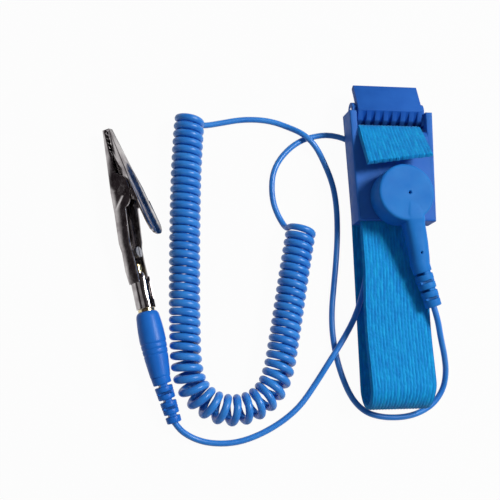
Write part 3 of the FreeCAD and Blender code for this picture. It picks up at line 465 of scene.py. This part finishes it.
coil_route = [
    (-58.05, 36.6), (-59.3, 25.0), (-60.3, 2.0), (-60.9, -22.0), (-60.7, -37.2), (-56.3, -43.9),
    (-48.8, -46.8), (-40.9, -45.0), (-35.5, -39.0), (-32.5, -24.5), (-29.0, -6.5), (-26.7, 4.4),
]
plug_route = [
    (-30.45, 4.9, 3.3), (-30.6, 5.4, 1.9), (-31.3, 6.8, 1.0), (-32.65, 9.4, 0.9),
    (-33.8, 12.9, 0.9), (-34.1, 17.0, 0.9), (-33.6, 21.4, 0.9), (-31.8, 25.3, 0.9),
    (-28.7, 28.9, 0.9), (-25.0, 31.6, 0.9), (-21.1, 33.0, 0.9), (-16.3, 33.8, 0.9),
    (-11.5, 32.1, 2.8), (-8.3, 29.8, 2.7), (-6.4, 24.5, 2.7), (-5.7, 17.0, 2.7),
    (-5.7, 8.0, 2.7), (-6.3, -1.5, 2.7), (-7.9, -11.0, 2.7), (-11.0, -20.0, 2.8),
    (-15.3, -27.0, 3.1), (-20.0, -33.6, 3.1), (-23.9, -39.8, 0.9), (-28.0, -45.1, 0.9),
    (-32.2, -48.6, 0.9), (-36.7, -51.3, 0.9), (-41.1, -53.3, 0.9), (-45.8, -54.7, 0.9),
    (-50.3, -55.1, 0.9), (-54.65, -54.7, 0.9), (-58.0, -53.7, 1.1), (-60.7, -52.3, 1.8),
    (-62.75, -50.75, 2.6), (-64.0, -49.0, 3.0),
]


def spline_along(name, points, steps):
    """A curve object with one open NURBS spline whose control points are the route's points."""
    curve = bpy.data.curves.new(name, "CURVE")
    curve.dimensions = "3D"
    curve.resolution_u = steps
    spline = curve.splines.new("NURBS")
    spline.points.add(len(points) - 1)
    for control, point in zip(spline.points, points):
        control.co = (*(Vector(point) * MM), 1)
    spline.order_u = 3
    spline.use_endpoint_u = True
    return bpy.data.objects.new(name, curve)


def line_of(curve_object):
    """The points that a bare spline passes through, as Blender itself works them out."""
    mesh = bpy.data.meshes.new_from_object(curve_object)
    line = [vertex.co.copy() for vertex in mesh.vertices]
    bpy.data.meshes.remove(mesh)
    return line


def length_of(line):
    return sum((b - a).length for a, b in zip(line, line[1:]))


def thicken(curve_object):
    curve_object.data.bevel_depth = CORD_THICK / 2
    curve_object.data.bevel_resolution = ROUND_STEPS
    curve_object.data.use_fill_caps = True


print("route points", len(lead_route) + len(snap_route) + len(coil_route) + len(plug_route))

# %% [markdown]
# The cap can be lifted and turned, and the cord's first two stretches would have to bend with it.
# A spline can't bend between two bodies, so these two are made as mesh tubes; they are not tied
# to any body and nothing makes them bend.

# %% The first two stretches, as mesh tubes
TUBE_STEPS = 10


def bending_stretch(name, route):
    curve_object = spline_along(name + "_line", route, TUBE_STEPS)
    line = line_of(curve_object)
    thicken(curve_object)
    mesh = bpy.data.meshes.new_from_object(curve_object)
    bpy.data.objects.remove(curve_object)
    mesh.name = name
    mesh.materials.clear()
    mesh.materials.append(finishes["cord_blue"])
    mesh.shade_smooth()
    tube = bpy.data.objects.new(name, mesh)
    bpy.context.scene.collection.objects.link(tube)
    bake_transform(tube)
    print(name, "length mm", round(length_of(line) / MM, 1), "rings", len(line))
    return tube, line


cord_lead_tube, lead_line = bending_stretch("lead_from_cap", lead_route)
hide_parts("cord_lead")
snap_tube, snap_line = bending_stretch("cord_to_coil", snap_route)
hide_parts("cord_to_snap")

# %% [markdown]
# The curly stretch is the same cord, wound round a rod when it was made. Its middle line bends
# back on itself like a walking stick. The helix is worked out round that line: at each step the
# distance along it and the turn are known, and the winding opens a little in the bend. A
# quadratic spline passes inside its control points, so these stand a little further out.

# %% The winding
COIL_RADIUS = 3.3 * MM
COIL_LEVEL = 4.4
COIL_TURNS = 59.75
POINTS_PER_TURN = 16
PITCH_ARM = 2.3
PITCH_BEND = 3.3
BEND_FROM, BEND_SHARE, BEND_FULLNESS = 0.42, 0.34, 0.6


def pitch_at(share):
    """The pitch at a share of the coil's length: wider in the bend than in the arms."""
    in_bend = min(1.0, max(0.0, (share - BEND_FROM) / BEND_SHARE))
    return PITCH_ARM + (PITCH_BEND - PITCH_ARM) * math.sin(math.pi * in_bend) ** BEND_FULLNESS


def turns_along(line):
    """Turn counts at each point of the middle line, so that the winding follows its pitch."""
    along = [0.0]
    for a, b in zip(line, line[1:]):
        along.append(along[-1] + (b - a).length)
    turns = [0.0]
    for a, b in zip(along, along[1:]):
        turns.append(turns[-1] + (b - a) / pitch_at((a + b) / 2 / along[-1]))
    scale = COIL_TURNS / turns[-1]
    return [turn * scale for turn in turns]


def coil_points(line):
    turns = turns_along(line)
    outward = COIL_RADIUS / (0.75 + 0.25 * math.cos(2 * math.pi / POINTS_PER_TURN))
    points = []
    here = 0
    for number in range(int(COIL_TURNS * POINTS_PER_TURN) + 1):
        turn = number / POINTS_PER_TURN
        while here < len(line) - 2 and turns[here + 1] < turn:
            here += 1
        part = (turn - turns[here]) / (turns[here + 1] - turns[here])
        way = (line[min(here + 2, len(line) - 1)] - line[max(here - 1, 0)]).normalized()
        left = Vector((-way.y, way.x, 0))
        angle = -math.pi / 2 - 2 * math.pi * turn
        middle = line[here].lerp(line[here + 1], part)
        rise = Vector((0, 0, outward * math.sin(angle)))
        points.append(middle + left * outward * math.cos(angle) + rise)
    return points


# %% [markdown]
# The straight run to the plug is more points of the same spline, so the cord leaves the last
# turn without a kink. The turns nearly touch in the photograph, so the wound cord is drawn a
# little thicker than the straight one, and swells and thins over a few points at each end.

# %% The coil and the run to the plug
COIL_SWELL = 0.26
SWELL_POINTS = 6
MIDDLE_STEPS = 40
COIL_STEPS = 3


def curly_cord():
    middle = spline_along("coil_middle", [(x, y, COIL_LEVEL) for x, y in coil_route],
                          MIDDLE_STEPS)
    line = line_of(middle)
    bpy.data.objects.remove(middle)
    winding = [point / MM for point in coil_points(line)]
    route = [snap_route[-1]] + winding + plug_route
    cord = spline_along("curly_cord_line", route, COIL_STEPS)
    cord.name = "curly_lead"
    for number, control in enumerate(cord.data.splines[0].points):
        from_end = min(number - 1, len(winding) - number)
        control.radius = 1 + COIL_SWELL * min(1.0, max(0.0, from_end / SWELL_POINTS))
    thicken(cord)
    cord.data.materials.append(finishes["cord_blue"])
    bpy.context.scene.collection.objects.link(cord)
    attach(cord, "strap")
    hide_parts("curly_cord", "cord_to_plug")
    print("curly lead control points", len(route))
    return cord


curly_lead = curly_cord()

# %% [markdown]
# Most pieces are made in a bmesh in millimetres and turned into an object at the end.

# %% A helper that finishes a piece
def finished(name, bm, slot, body, replaced, sharp):
    bmesh.ops.scale(bm, vec=(MM, MM, MM), verts=bm.verts)
    mesh = bpy.data.meshes.new(name)
    bm.to_mesh(mesh)
    bm.free()
    mesh.materials.append(finishes[slot])
    mesh.shade_smooth()
    mesh.set_sharp_from_angle(angle=math.radians(sharp))
    piece = bpy.data.objects.new(name, mesh)
    bpy.context.scene.collection.objects.link(piece)
    if isinstance(body, str):
        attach(piece, body)
    else:
        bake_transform(piece)
    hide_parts(replaced)
    print(name, "faces", len(mesh.polygons))
    return piece


# %% [markdown]
# Up close the band is rows of small loops of yarn, with a groove between each two ribs. The
# ribs themselves are in the mesh. The finish adds the loops as bumps, streaks of lighter and
# darker yarn along the band, and a faint shade in the grooves. It reads a UV map that holds
# millimetres across and along the band, so the knit follows it round the fold.

# %% The knit
BAND_WIDTH = 19.0
RIBS = 20
YARN_STRETCH = (1.0, 0.16, 1.0)
LOOP_STRETCH = (1.0, 0.6, 1.0)
YARN_SCALE, LOOP_SCALE = 1.5, 1.9
YARN_BLUES = ((0.28, screen(0, 122, 202)), (0.5, screen(2, 148, 220)), (0.74, screen(20, 176, 234)))
GROOVE_SHARE, GROOVE_SHADE = 0.24, 0.66
LOOP_DEPTH = 0.16 * MM
YARN_DEPTH = 0.1 * MM


def knit_place(tree, where, stretch):
    mapping = add_node(tree, "Mapping", Scale=stretch)
    tree.links.new(where, mapping.inputs[0])
    return mapping.outputs[0]


def band_finish():
    finish, tree, shader = new_finish("band_knit", Roughness=0.75, Specular_IOR_Level=0.2,
                                      Sheen_Weight=0.08, Sheen_Roughness=0.5)
    uv_map = add_node(tree, "UVMap")
    uv_map.uv_map = "along"
    where = uv_map.outputs[0]
    yarn = noise_from(tree, knit_place(tree, where, YARN_STRETCH), YARN_SCALE, 4, 0.65)
    loops = add_node(tree, "TexVoronoi", Scale=LOOP_SCALE)
    loops.feature = "SMOOTH_F1"
    tree.links.new(knit_place(tree, where, LOOP_STRETCH), loops.inputs["Vector"])
    split = add_node(tree, "SeparateXYZ")
    tree.links.new(where, split.inputs[0])
    phase = math_of(tree, "MULTIPLY", split.outputs["X"], 2 * math.pi * RIBS / BAND_WIDTH)
    shade = ramp_from(tree, math_of(tree, "SINE", phase), (0.05, GROOVE_SHADE), (0.7, 1.0))
    colour = mix_colours(tree, GROOVE_SHARE, ramp_from(tree, yarn, *YARN_BLUES), shade, "MULTIPLY")
    tree.links.new(colour, shader.inputs["Base Color"])
    loops_only = bump_from(tree, shader, loops.outputs["Distance"], 0.8, LOOP_DEPTH)
    bump_from(tree, shader, yarn, 0.4, YARN_DEPTH, loops_only)
    return finish


finishes["band_knit"] = band_finish()
print("ribs", RIBS, "each mm", BAND_WIDTH / RIBS)

# %% [markdown]
# The band is knitted elastic, 19 mm wide, with fine ribs along it. One end is hooked round a
# pin in the buckle. From there it runs out over the wrist, folds back under itself, comes up
# through the buckle's window and ends in a short tail. It could be drawn as a grid and bent,
# but it is easier to walk along it: a ribbed row of points is swept straight for each run and
# spun about an axis for each turn. A run has a length and a count of steps, and a turn has a
# radius, an angle and a count. A Solidify modifier later gives the band its thickness.

# %% The band's ribs and its walk
BAND_SHIFT = -0.9
BAND_THICK = 1.3
RIB_COLUMNS = 4
RIB_DEPTH = 0.12
TAIL_LENGTH = 12.9
BAND_START = Vector((0, 7.7, 6.3))
BAND_WALK = [
    ("run", 0.5, 1), ("turn", 1.55, 180, 14), ("run", 4.2, 4), ("turn", 39.5, -11.91, 8),
    ("turn", 39.5, 11.91, 8), ("run", 29.0, 29), ("turn", 5.2, 180, 26), ("run", 72.6, 60),
    ("turn", 2.2, 90, 12), ("run", 6.5, 7), ("turn", 2.95, 55, 12), ("run", TAIL_LENGTH, 24),
]


def rib_offset(column):
    """The height of the ribbed row at a column, in a rounded saw across the width."""
    return RIB_DEPTH * (abs(math.sin(math.pi * column / RIB_COLUMNS)) - 0.5)


def walk_band(bm, columns):
    left = BAND_SHIFT - BAND_WIDTH / 2
    here = BAND_START.copy()
    heading = 0.0
    row = [bm.verts.new((left + BAND_WIDTH * k / columns, here.y, here.z + rib_offset(k)))
           for k in range(columns + 1)]
    edges = [bm.edges.new(pair) for pair in zip(row, row[1:])]
    for kind, size, *rest in BAND_WALK:
        if kind == "run":
            way = Vector((0, math.cos(heading), math.sin(heading))) * size
            spun = bmesh.ops.spin(bm, geom=edges, cent=here, axis=(1, 0, 0), dvec=way / rest[0],
                                  angle=0, steps=rest[0])
            here += way
        else:
            turn = math.radians(rest[0])
            side = Vector((0, -math.sin(heading), math.cos(heading)))
            centre = here + side * math.copysign(size, turn)
            spun = bmesh.ops.spin(bm, geom=edges, cent=centre, axis=(1, 0, 0), angle=turn,
                                  steps=rest[1])
            here = centre + Matrix.Rotation(turn, 3, "X") @ (here - centre)
            heading += turn
        edges = [part for part in spun["geom_last"] if isinstance(part, bmesh.types.BMEdge)]
    bm.verts.index_update()
    bm.verts.ensure_lookup_table()
    print("band ends at mm", [round(v, 2) for v in here])


def distances_along(bm, columns):
    """The distance along the band of each of its rows, measured on the left edge."""
    edge = [vert.co for vert in list(bm.verts)[::columns + 1]]
    along = [0.0]
    for a, b in zip(edge, edge[1:]):
        along.append(along[-1] + (b - a).length)
    print("band rows", len(along), "flat length mm", round(along[-1], 1))
    return along


# %% [markdown]
# The walk gives a perfect band, and a real one is softer. It leans a little sideways on its way
# to the fold, its edges bow, and it narrows in the fold. Its tail stands up from the window,
# twists and has a rough cut end. These are small moves of the points, each a smooth function of
# the distance along the band or of the place, so no step shows.

# %% Soften the band
LEAN, LEAN_FROM, LEAN_RUN = 0.75, 3.0, 50.0
BOW = 0.22
LOWER_TOP, LAYER_GAP = 3.0, 6.0
FOLD_FROM, FOLD_RUN = -40.0, 7.0
FOLD_SHIFT, FOLD_PINCH = 0.45, 0.55
TAIL_WAY = Vector((0, math.cos(math.radians(145)), math.sin(math.radians(145))))
TAIL_TWIST = math.radians(8.0)
TAIL_DROOP, TAIL_CURL = 0.25, 0.6
CUT_ROUGH, CUT_WAVE = 0.22, 0.06


def twist_tail(point, across, part, hub):
    point.co = hub + Matrix.Rotation(TAIL_TWIST * part, 3, TAIL_WAY) @ (point.co - hub)
    point.co.z -= TAIL_DROOP * across * across * part
    point.co -= TAIL_WAY * TAIL_CURL * across * part ** 3


def lean_to_fold(point, across):
    lean = math.sin(math.pi * min(1.0, (LEAN_FROM - point.co.y) / LEAN_RUN)) ** 2
    upper = min(1.0, max(0.0, (point.co.z - LOWER_TOP) / LAYER_GAP))
    point.co.x -= LEAN * lean * upper
    point.co.z -= BOW * across * across * lean * upper
    fold = min(1.0, max(0.0, (FOLD_FROM - point.co.y) / FOLD_RUN))
    point.co.x -= (FOLD_SHIFT + FOLD_PINCH * across) * fold * fold * (3 - 2 * fold)


def lay_band(bm, along, columns):
    tail = along[-1] - TAIL_LENGTH
    root_row = next(k for k, distance in enumerate(along) if distance >= tail - 0.1)
    root = bm.verts[root_row * (columns + 1)].co
    hub = Vector((BAND_SHIFT, root.y, root.z))
    for index, point in enumerate(bm.verts):
        number, column = divmod(index, columns + 1)
        across = 2 * column / columns - 1
        if along[number] > tail:
            twist_tail(point, across, (along[number] - tail) / TAIL_LENGTH, hub)
        elif point.co.y < LEAN_FROM:
            lean_to_fold(point, across)
    for column, end in enumerate(list(bm.verts)[-columns - 1:]):
        rough = noise.noise(Vector((column * 0.83, 1.7, 0.2)))
        end.co += TAIL_WAY * (CUT_ROUGH * rough + CUT_WAVE * math.sin(column * 2.4))


def elastic_band():
    bm = bmesh.new()
    uv = bm.loops.layers.uv.new("along")
    columns = RIBS * RIB_COLUMNS
    walk_band(bm, columns)
    along = distances_along(bm, columns)
    for face in bm.faces:
        for loop in face.loops:
            number, column = divmod(loop.vert.index, columns + 1)
            loop[uv].uv = (column / columns * BAND_WIDTH, along[number])
    lay_band(bm, along, columns)
    bmesh.ops.recalc_face_normals(bm, faces=bm.faces)
    band = finished("ribbed_band", bm, "band_knit", "strap", "elastic_band", 80)
    thick = band.modifiers.new("thickness", "SOLIDIFY")
    thick.thickness = BAND_THICK * MM
    thick.offset = 0
    thick.use_even_offset = True
    rounded = band.modifiers.new("soft_edges", "BEVEL")
    rounded.width = 0.3 * MM
    rounded.segments = 3
    rounded.limit_method = "ANGLE"
    rounded.angle_limit = math.radians(60)


elastic_band()

# %% [markdown]
# Moulded parts never have knife edges: the tool that makes them has small radii, and light
# catches on these. The buckle, the lever and the clip's sheet have the right shapes in the
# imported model, so a copy of each is merged, its flat areas are joined and its edges are
# bevelled by a fraction of a millimetre.

# %% Parts whose edges are softened
MERGE_WITHIN = 0.002
FLAT_WITHIN = math.radians(0.5)
SHARP_EDGE = math.radians(35)


def merged_copy(node):
    bm = bmesh.new()
    bm.from_mesh(frame["nodes"][node].data)
    bmesh.ops.scale(bm, vec=(1 / MM, 1 / MM, 1 / MM), verts=bm.verts)
    bmesh.ops.remove_doubles(bm, verts=bm.verts, dist=MERGE_WITHIN)
    return bm


def softened(name, node, slot, body, width):
    bm = merged_copy(node)
    bmesh.ops.dissolve_limit(bm, angle_limit=FLAT_WITHIN, verts=bm.verts, edges=bm.edges)
    edges = [edge for edge in bm.edges
             if len(edge.link_faces) == 2 and edge.calc_face_angle(0) > SHARP_EDGE]
    bmesh.ops.bevel(bm, geom=edges, offset=width, offset_type="OFFSET", segments=2, profile=0.5,
                    affect="EDGES", clamp_overlap=True, material=-1)
    return finished(name, bm, slot, body, node, 30)


softened("moulded_buckle", "buckle_frame", "buckle_blue", "strap", 0.22)
lever = softened("moulded_lever", "clasp_lever", "buckle_blue", "lever", 0.14)
lever.data.materials[0] = lever_finish_with_painted_shade()
softened("pressed_body", "clip_body", "nickel", "clip", 0.08)
softened("pressed_jaw", "clip_jaw", "nickel", "jaw", 0.08)

# %% [markdown]
# The two strain reliefs are slotted so that they bend with the cord. The slots come in pairs
# from two opposite sides, and each pair is a quarter turn from the last, so thin webs are left
# between the lobes. A taper with slots could be cut with booleans, but rings are simpler: each
# ring of points keeps the outer radius, and in a slot it falls back to the two flat faces of
# the web. Rings close together at each slot make its steep walls and the lobes' round corners.

# %% Strain reliefs
SLOT_WIDE = 0.7
SLOT_WALL = 0.06
WEB_HALF = 1.0
LOBE_ROUNDING = [(0.22, 0.0), (0.08, 0.05), (0.0, 0.17)]
RELIEF_COLUMNS = 64


def skin_over(bm, rings):
    """Joins rings of points into a closed skin, with a flat face at each end."""
    rows = [[bm.verts.new(point) for point in ring] for ring in rings]
    for near, far in zip(rows, rows[1:]):
        for k in range(len(near)):
            after = (k + 1) % len(near)
            bm.faces.new((near[k], near[after], far[after], far[k]))
    bm.faces.new(rows[0][::-1])
    bm.faces.new(rows[-1])
    bmesh.ops.recalc_face_normals(bm, faces=bm.faces)


def relief_stations(length, slots, sunk):
    """Places along a relief: distance, how far the edge is rounded down, and which slot pair."""
    stations = [(-sunk, 0.0, None)]
    for number in range(slots):
        middle = length * (number + 1) / (slots + 1)
        low, high = middle - SLOT_WIDE / 2, middle + SLOT_WIDE / 2
        stations += [(low - back, down, None) for back, down in LOBE_ROUNDING]
        stations += [(low + SLOT_WALL, 0.0, number), (high - SLOT_WALL, 0.0, number)]
        stations += [(high + back, down, None) for back, down in reversed(LOBE_ROUNDING)]
    return stations + [(length - back, down, None) for back, down in LOBE_ROUNDING]


def relief_radius(angle, outer, pair, first_turn):
    """The radius at an angle: the outer one, or in a slot the flat face of its web."""
    if pair is None:
        return outer
    off = angle - math.radians(first_turn + 90 * (pair % 2))
    return min(outer, WEB_HALF / max(0.01, abs(math.cos(off))))


def slotted_relief(name, node, slot, body, start, end, wide, narrow, slots, first_turn, sunk):
    start, end = Vector(start), Vector(end)
    way = (end - start).normalized()
    length = (end - start).length
    side = Vector((-way.y, way.x, 0)).normalized()
    up = way.cross(side)
    angles = [2 * math.pi * k / RELIEF_COLUMNS for k in range(RELIEF_COLUMNS)]
    rings = []
    for at, down, pair in relief_stations(length, slots, sunk):
        outer = wide + (narrow - wide) * max(0.0, at) / length - down
        rings.append([start + way * at + (side * math.cos(angle) + up * math.sin(angle))
                      * relief_radius(angle, outer, pair, first_turn) for angle in angles])
    bm = bmesh.new()
    skin_over(bm, rings)
    finished(name, bm, slot, body, node, 35)


slotted_relief("slotted_neck_end", "snap_relief", "cap_blue", "cap",
               start=(4.317, -8.008, 15.25), end=(7.866, -19.471, 14.2),
               wide=2.72, narrow=2.3, slots=4, first_turn=168, sunk=1.3)
slotted_relief("slotted_grip_end", "plug_relief", "grip_blue", "strap",
               start=(-67.68, -37.02, 4.1), end=(-64.0, -49.0, 3.0),
               wide=2.6, narrow=2.0, slots=5, first_turn=0, sunk=0.3)

# %% [markdown]
# The grip behind the plug is turned: a soft belly, then three fine rings and a taper. Its
# profile is a row of points that is spun once round the axis and then laid along the plug.

# %% The plug's grip
PLUG_FRONT = Vector((-71.15, -19.0, 4.1))
PLUG_ANGLE = math.radians(10.9)
GRIP_LENGTH = 18.35
GRIP_GROOVES = [8.9, 10.4, 11.9]
GROOVE_DEPTH, GROOVE_HALF, GROOVE_MARGIN = 0.15, 0.2, 0.6
BELLY_AT, BELLY_RADIUS = 8.0, 3.6
FRONT_DROP, NOSE_DROP, NOSE_LENGTH = 0.6, 0.55, 1.2
TAPER_DROP, TAPER_BEND = 0.9, 1.3
FINE_STEP, PLAIN_STEP = 0.1, 0.25


def grip_radius(at):
    if at < BELLY_AT:
        front = FRONT_DROP * ((BELLY_AT - at) / BELLY_AT) ** 2
        return BELLY_RADIUS - front - NOSE_DROP * max(0.0, 1 - at / NOSE_LENGTH) ** 2
    return BELLY_RADIUS - TAPER_DROP * ((at - BELLY_AT) / (GRIP_LENGTH - BELLY_AT)) ** TAPER_BEND


def grip_profile():
    """Radius and distance of each point, close together at the rings, with rounded ends."""
    profile = [(0.0, 0.0), (grip_radius(0) - 0.35, 0.0), (grip_radius(0.1) - 0.08, 0.1)]
    at = 0.25
    while at < GRIP_LENGTH - 0.35:
        depth = sum(GROOVE_DEPTH * math.exp(-((at - groove) / GROOVE_HALF) ** 2)
                    for groove in GRIP_GROOVES)
        profile.append((grip_radius(at) - depth, at))
        near_rings = GRIP_GROOVES[0] - GROOVE_MARGIN < at < GRIP_GROOVES[-1] + GROOVE_MARGIN
        at += FINE_STEP if near_rings else PLAIN_STEP
    end = grip_radius(GRIP_LENGTH)
    return profile + [(end - 0.1, GRIP_LENGTH - 0.12), (end - 0.3, GRIP_LENGTH),
                      (0.0, GRIP_LENGTH)]


def spin_round(bm, points, centre, axis, steps):
    """Spins a row of points once round an axis and closes the poles."""
    row = [bm.verts.new(point) for point in points]
    edges = [bm.edges.new(pair) for pair in zip(row, row[1:])]
    bmesh.ops.spin(bm, geom=row + edges, cent=centre, axis=axis, angle=2 * math.pi, steps=steps,
                   use_merge=True)
    bmesh.ops.remove_doubles(bm, verts=bm.verts, dist=0.0005)
    bmesh.ops.recalc_face_normals(bm, faces=bm.faces)


def plug_grip():
    bm = bmesh.new()
    spin_round(bm, [(radius, -at, 0) for radius, at in grip_profile()], (0, 0, 0), (0, 1, 0), 56)
    bmesh.ops.rotate(bm, verts=bm.verts, cent=(0, 0, 0),
                     matrix=Matrix.Rotation(PLUG_ANGLE, 3, "Z"))
    bmesh.ops.translate(bm, verts=bm.verts, vec=PLUG_FRONT)
    finished("turned_grip", bm, "grip_blue", "strap", "plug_grip", 35)


plug_grip()

# %% [markdown]
# The clip's torsion spring has one leg on the clip's floor and one under the thumb plate. It has
# to open with the jaw. A copy of it is made, and the places of its low leg, which would stay with
# the clip, and its high leg, which would go with the jaw, are worked out and passed along, but the
# copy is not blended across the pivot and stays where the imported spring is.

# %% The clip's spring
CLIP_ROLL = math.radians(38.0)
PIVOT_ALONG = 33.5
PIVOT_ABOVE = 2.2
SPRING_RADIUS = 1.35


def in_clip(along, above):
    """A place in the clip's middle plane, in metres, from distances along and to the thumb."""
    way = Vector((-math.sin(PLUG_ANGLE), math.cos(PLUG_ANGLE), 0))
    side = Vector((way.y, -way.x, 0))
    thumb = side * math.cos(CLIP_ROLL) + Vector((0, 0, math.sin(CLIP_ROLL)))
    return (PLUG_FRONT + way * along + thumb * above) * MM


low_leg = in_clip(PIVOT_ALONG, PIVOT_ABOVE - SPRING_RADIUS)
high_leg = in_clip(PIVOT_ALONG, PIVOT_ABOVE + SPRING_RADIUS)
finished("torsion_spring", merged_copy("clip_spring"), "steel", ("clip", "jaw", low_leg, high_leg),
         "clip_spring", 50)

# %% [markdown]
# The cap is moulded in one with its neck, and the neck's ridge runs up on the cap's face as far
# as a small dimple in its middle. Modelling that blend by hand is slow work, so the two are
# made as plain closed shapes that overlap: a spun cup and a lofted neck. Each ring of the neck
# is an ellipse whose corners are pushed out: nearly a box where it joins the cap, and rounder
# towards the cord. Half its width, its top, its bottom and its shift are listed by distance.

# %% The shapes of the cap and its neck
CAP_AXIS = Vector((0, 11.9, 0))
CAP_TOP = 20.0
CAP_RADIUS = 8.15
CAP_ROUNDING = 0.7
CAP_RIM = [(0, 16.3), (6.1, 16.3), (6.1, 11.9), (8.0, 11.9), (8.15, 12.05)]
NECK_START = Vector((2.4, 11.9, 17.0))
NECK_WAY = Vector((math.cos(math.radians(-84.5)), math.sin(math.radians(-84.5)), -2.8 / 32))
NECK_STATIONS = [
    (0.2, 0.5, 19.85, 18.0, -1.4), (2.0, 1.2, 19.95, 17.0, -1.1), (4.0, 1.9, 20.08, 16.0, -0.8),
    (6.0, 2.6, 20.14, 14.6, -0.75), (7.6, 3.0, 19.98, 13.7, -0.75), (9.0, 3.0, 19.6, 13.4, -0.7),
    (11.0, 2.95, 19.15, 13.2, -0.4), (14.0, 2.9, 18.7, 12.95, -0.15),
    (18.0, 2.82, 18.18, 12.65, 0), (19.8, 2.72, 17.95, 12.55, 0),
]
NECK_COLUMNS = 48
NECK_TILT, TILT_RUN = 0.07, 12
BOXY, OVAL = 7.0, 2.0


def cup(bm):
    rounding = [(CAP_RADIUS - CAP_ROUNDING + CAP_ROUNDING * math.cos(turn),
                 CAP_TOP - CAP_ROUNDING + CAP_ROUNDING * math.sin(turn))
                for turn in (k * math.pi / 12 for k in range(7))]
    profile = CAP_RIM + rounding + [(0, CAP_TOP)]
    points = [(CAP_AXIS.x + radius, CAP_AXIS.y, z) for radius, z in profile]
    spin_round(bm, points, CAP_AXIS, (0, 0, 1), 72)


def squareness(along):
    """The power of a ring's outline: 7 is nearly a box and 2 is an ellipse."""
    at_the_cap = BOXY - 1.3 * (along - 6.0)
    at_the_cord = 3.2 - 0.12 * (along - 9.0)
    return min(BOXY, max(OVAL, at_the_cap, at_the_cord))


def neck_ring(along, half, high, low, shift):
    side = Vector((-NECK_WAY.y, NECK_WAY.x, 0)).normalized()
    middle = NECK_START + Vector((shift, 0, 0)) + NECK_WAY * along
    middle.z = (high + low) / 2
    tilt = NECK_TILT * max(0.0, 1 - along / TILT_RUN)
    power = squareness(along)
    ring = []
    for k in range(NECK_COLUMNS):
        angle = 2 * math.pi * k / NECK_COLUMNS
        c, n = math.cos(angle), math.sin(angle)
        flat = (abs(c) ** power + abs(n) ** power) ** (-1 / power)
        rise = n * flat * (high - low) / 2 - tilt * c * flat * half
        ring.append(middle + side * c * flat * half + Vector((0, 0, rise)))
    return ring


# %% [markdown]
# A Remesh modifier then grows one skin over both shapes, and a Smooth modifier takes the steps
# out of it, which also gives the soft edges of the real moulding. The two dimples are pushed in
# afterwards.

# %% The cap as one moulding
VOXEL = 0.17
SMOOTH_ROUNDS = 9
DIMPLES = [((0.9, 11.85, 20.0), 0.5, 1.1), ((3.85, -4.9, 18.1), 0.42, 0.8)]
DIMPLE_REACH = 1.5


def grown_together(bm):
    """One smooth skin over closed shapes in millimetres that overlap, as a new bmesh."""
    mesh = bpy.data.meshes.new("cap_shapes")
    bm.to_mesh(mesh)
    bm.free()
    shape = bpy.data.objects.new("cap_shapes", mesh)
    bpy.context.scene.collection.objects.link(shape)
    skin = shape.modifiers.new("skin", "REMESH")
    skin.mode = "VOXEL"
    skin.voxel_size = VOXEL
    smooth = shape.modifiers.new("smooth", "SMOOTH")
    smooth.factor = 0.5
    smooth.iterations = SMOOTH_ROUNDS
    bpy.context.view_layer.update()
    done = bmesh.new()
    done.from_object(shape, bpy.context.evaluated_depsgraph_get())
    bpy.data.objects.remove(shape)
    bpy.data.meshes.remove(mesh)
    return done


def press_dimples(bm):
    for place, wide, deep in DIMPLES:
        for vert in bm.verts:
            away = math.hypot(vert.co.x - place[0], vert.co.y - place[1])
            if vert.co.z > place[2] - DIMPLE_REACH and away < wide:
                part = away / wide
                vert.co.z -= deep * (1 - part * part * (3 - 2 * part)) ** 0.6


def soft_cap():
    bm = bmesh.new()
    cup(bm)
    skin_over(bm, [neck_ring(*station) for station in NECK_STATIONS])
    bm = grown_together(bm)
    press_dimples(bm)
    finished("soft_cap", bm, "cap_blue", "cap", "snap_cap", 60)


soft_cap()
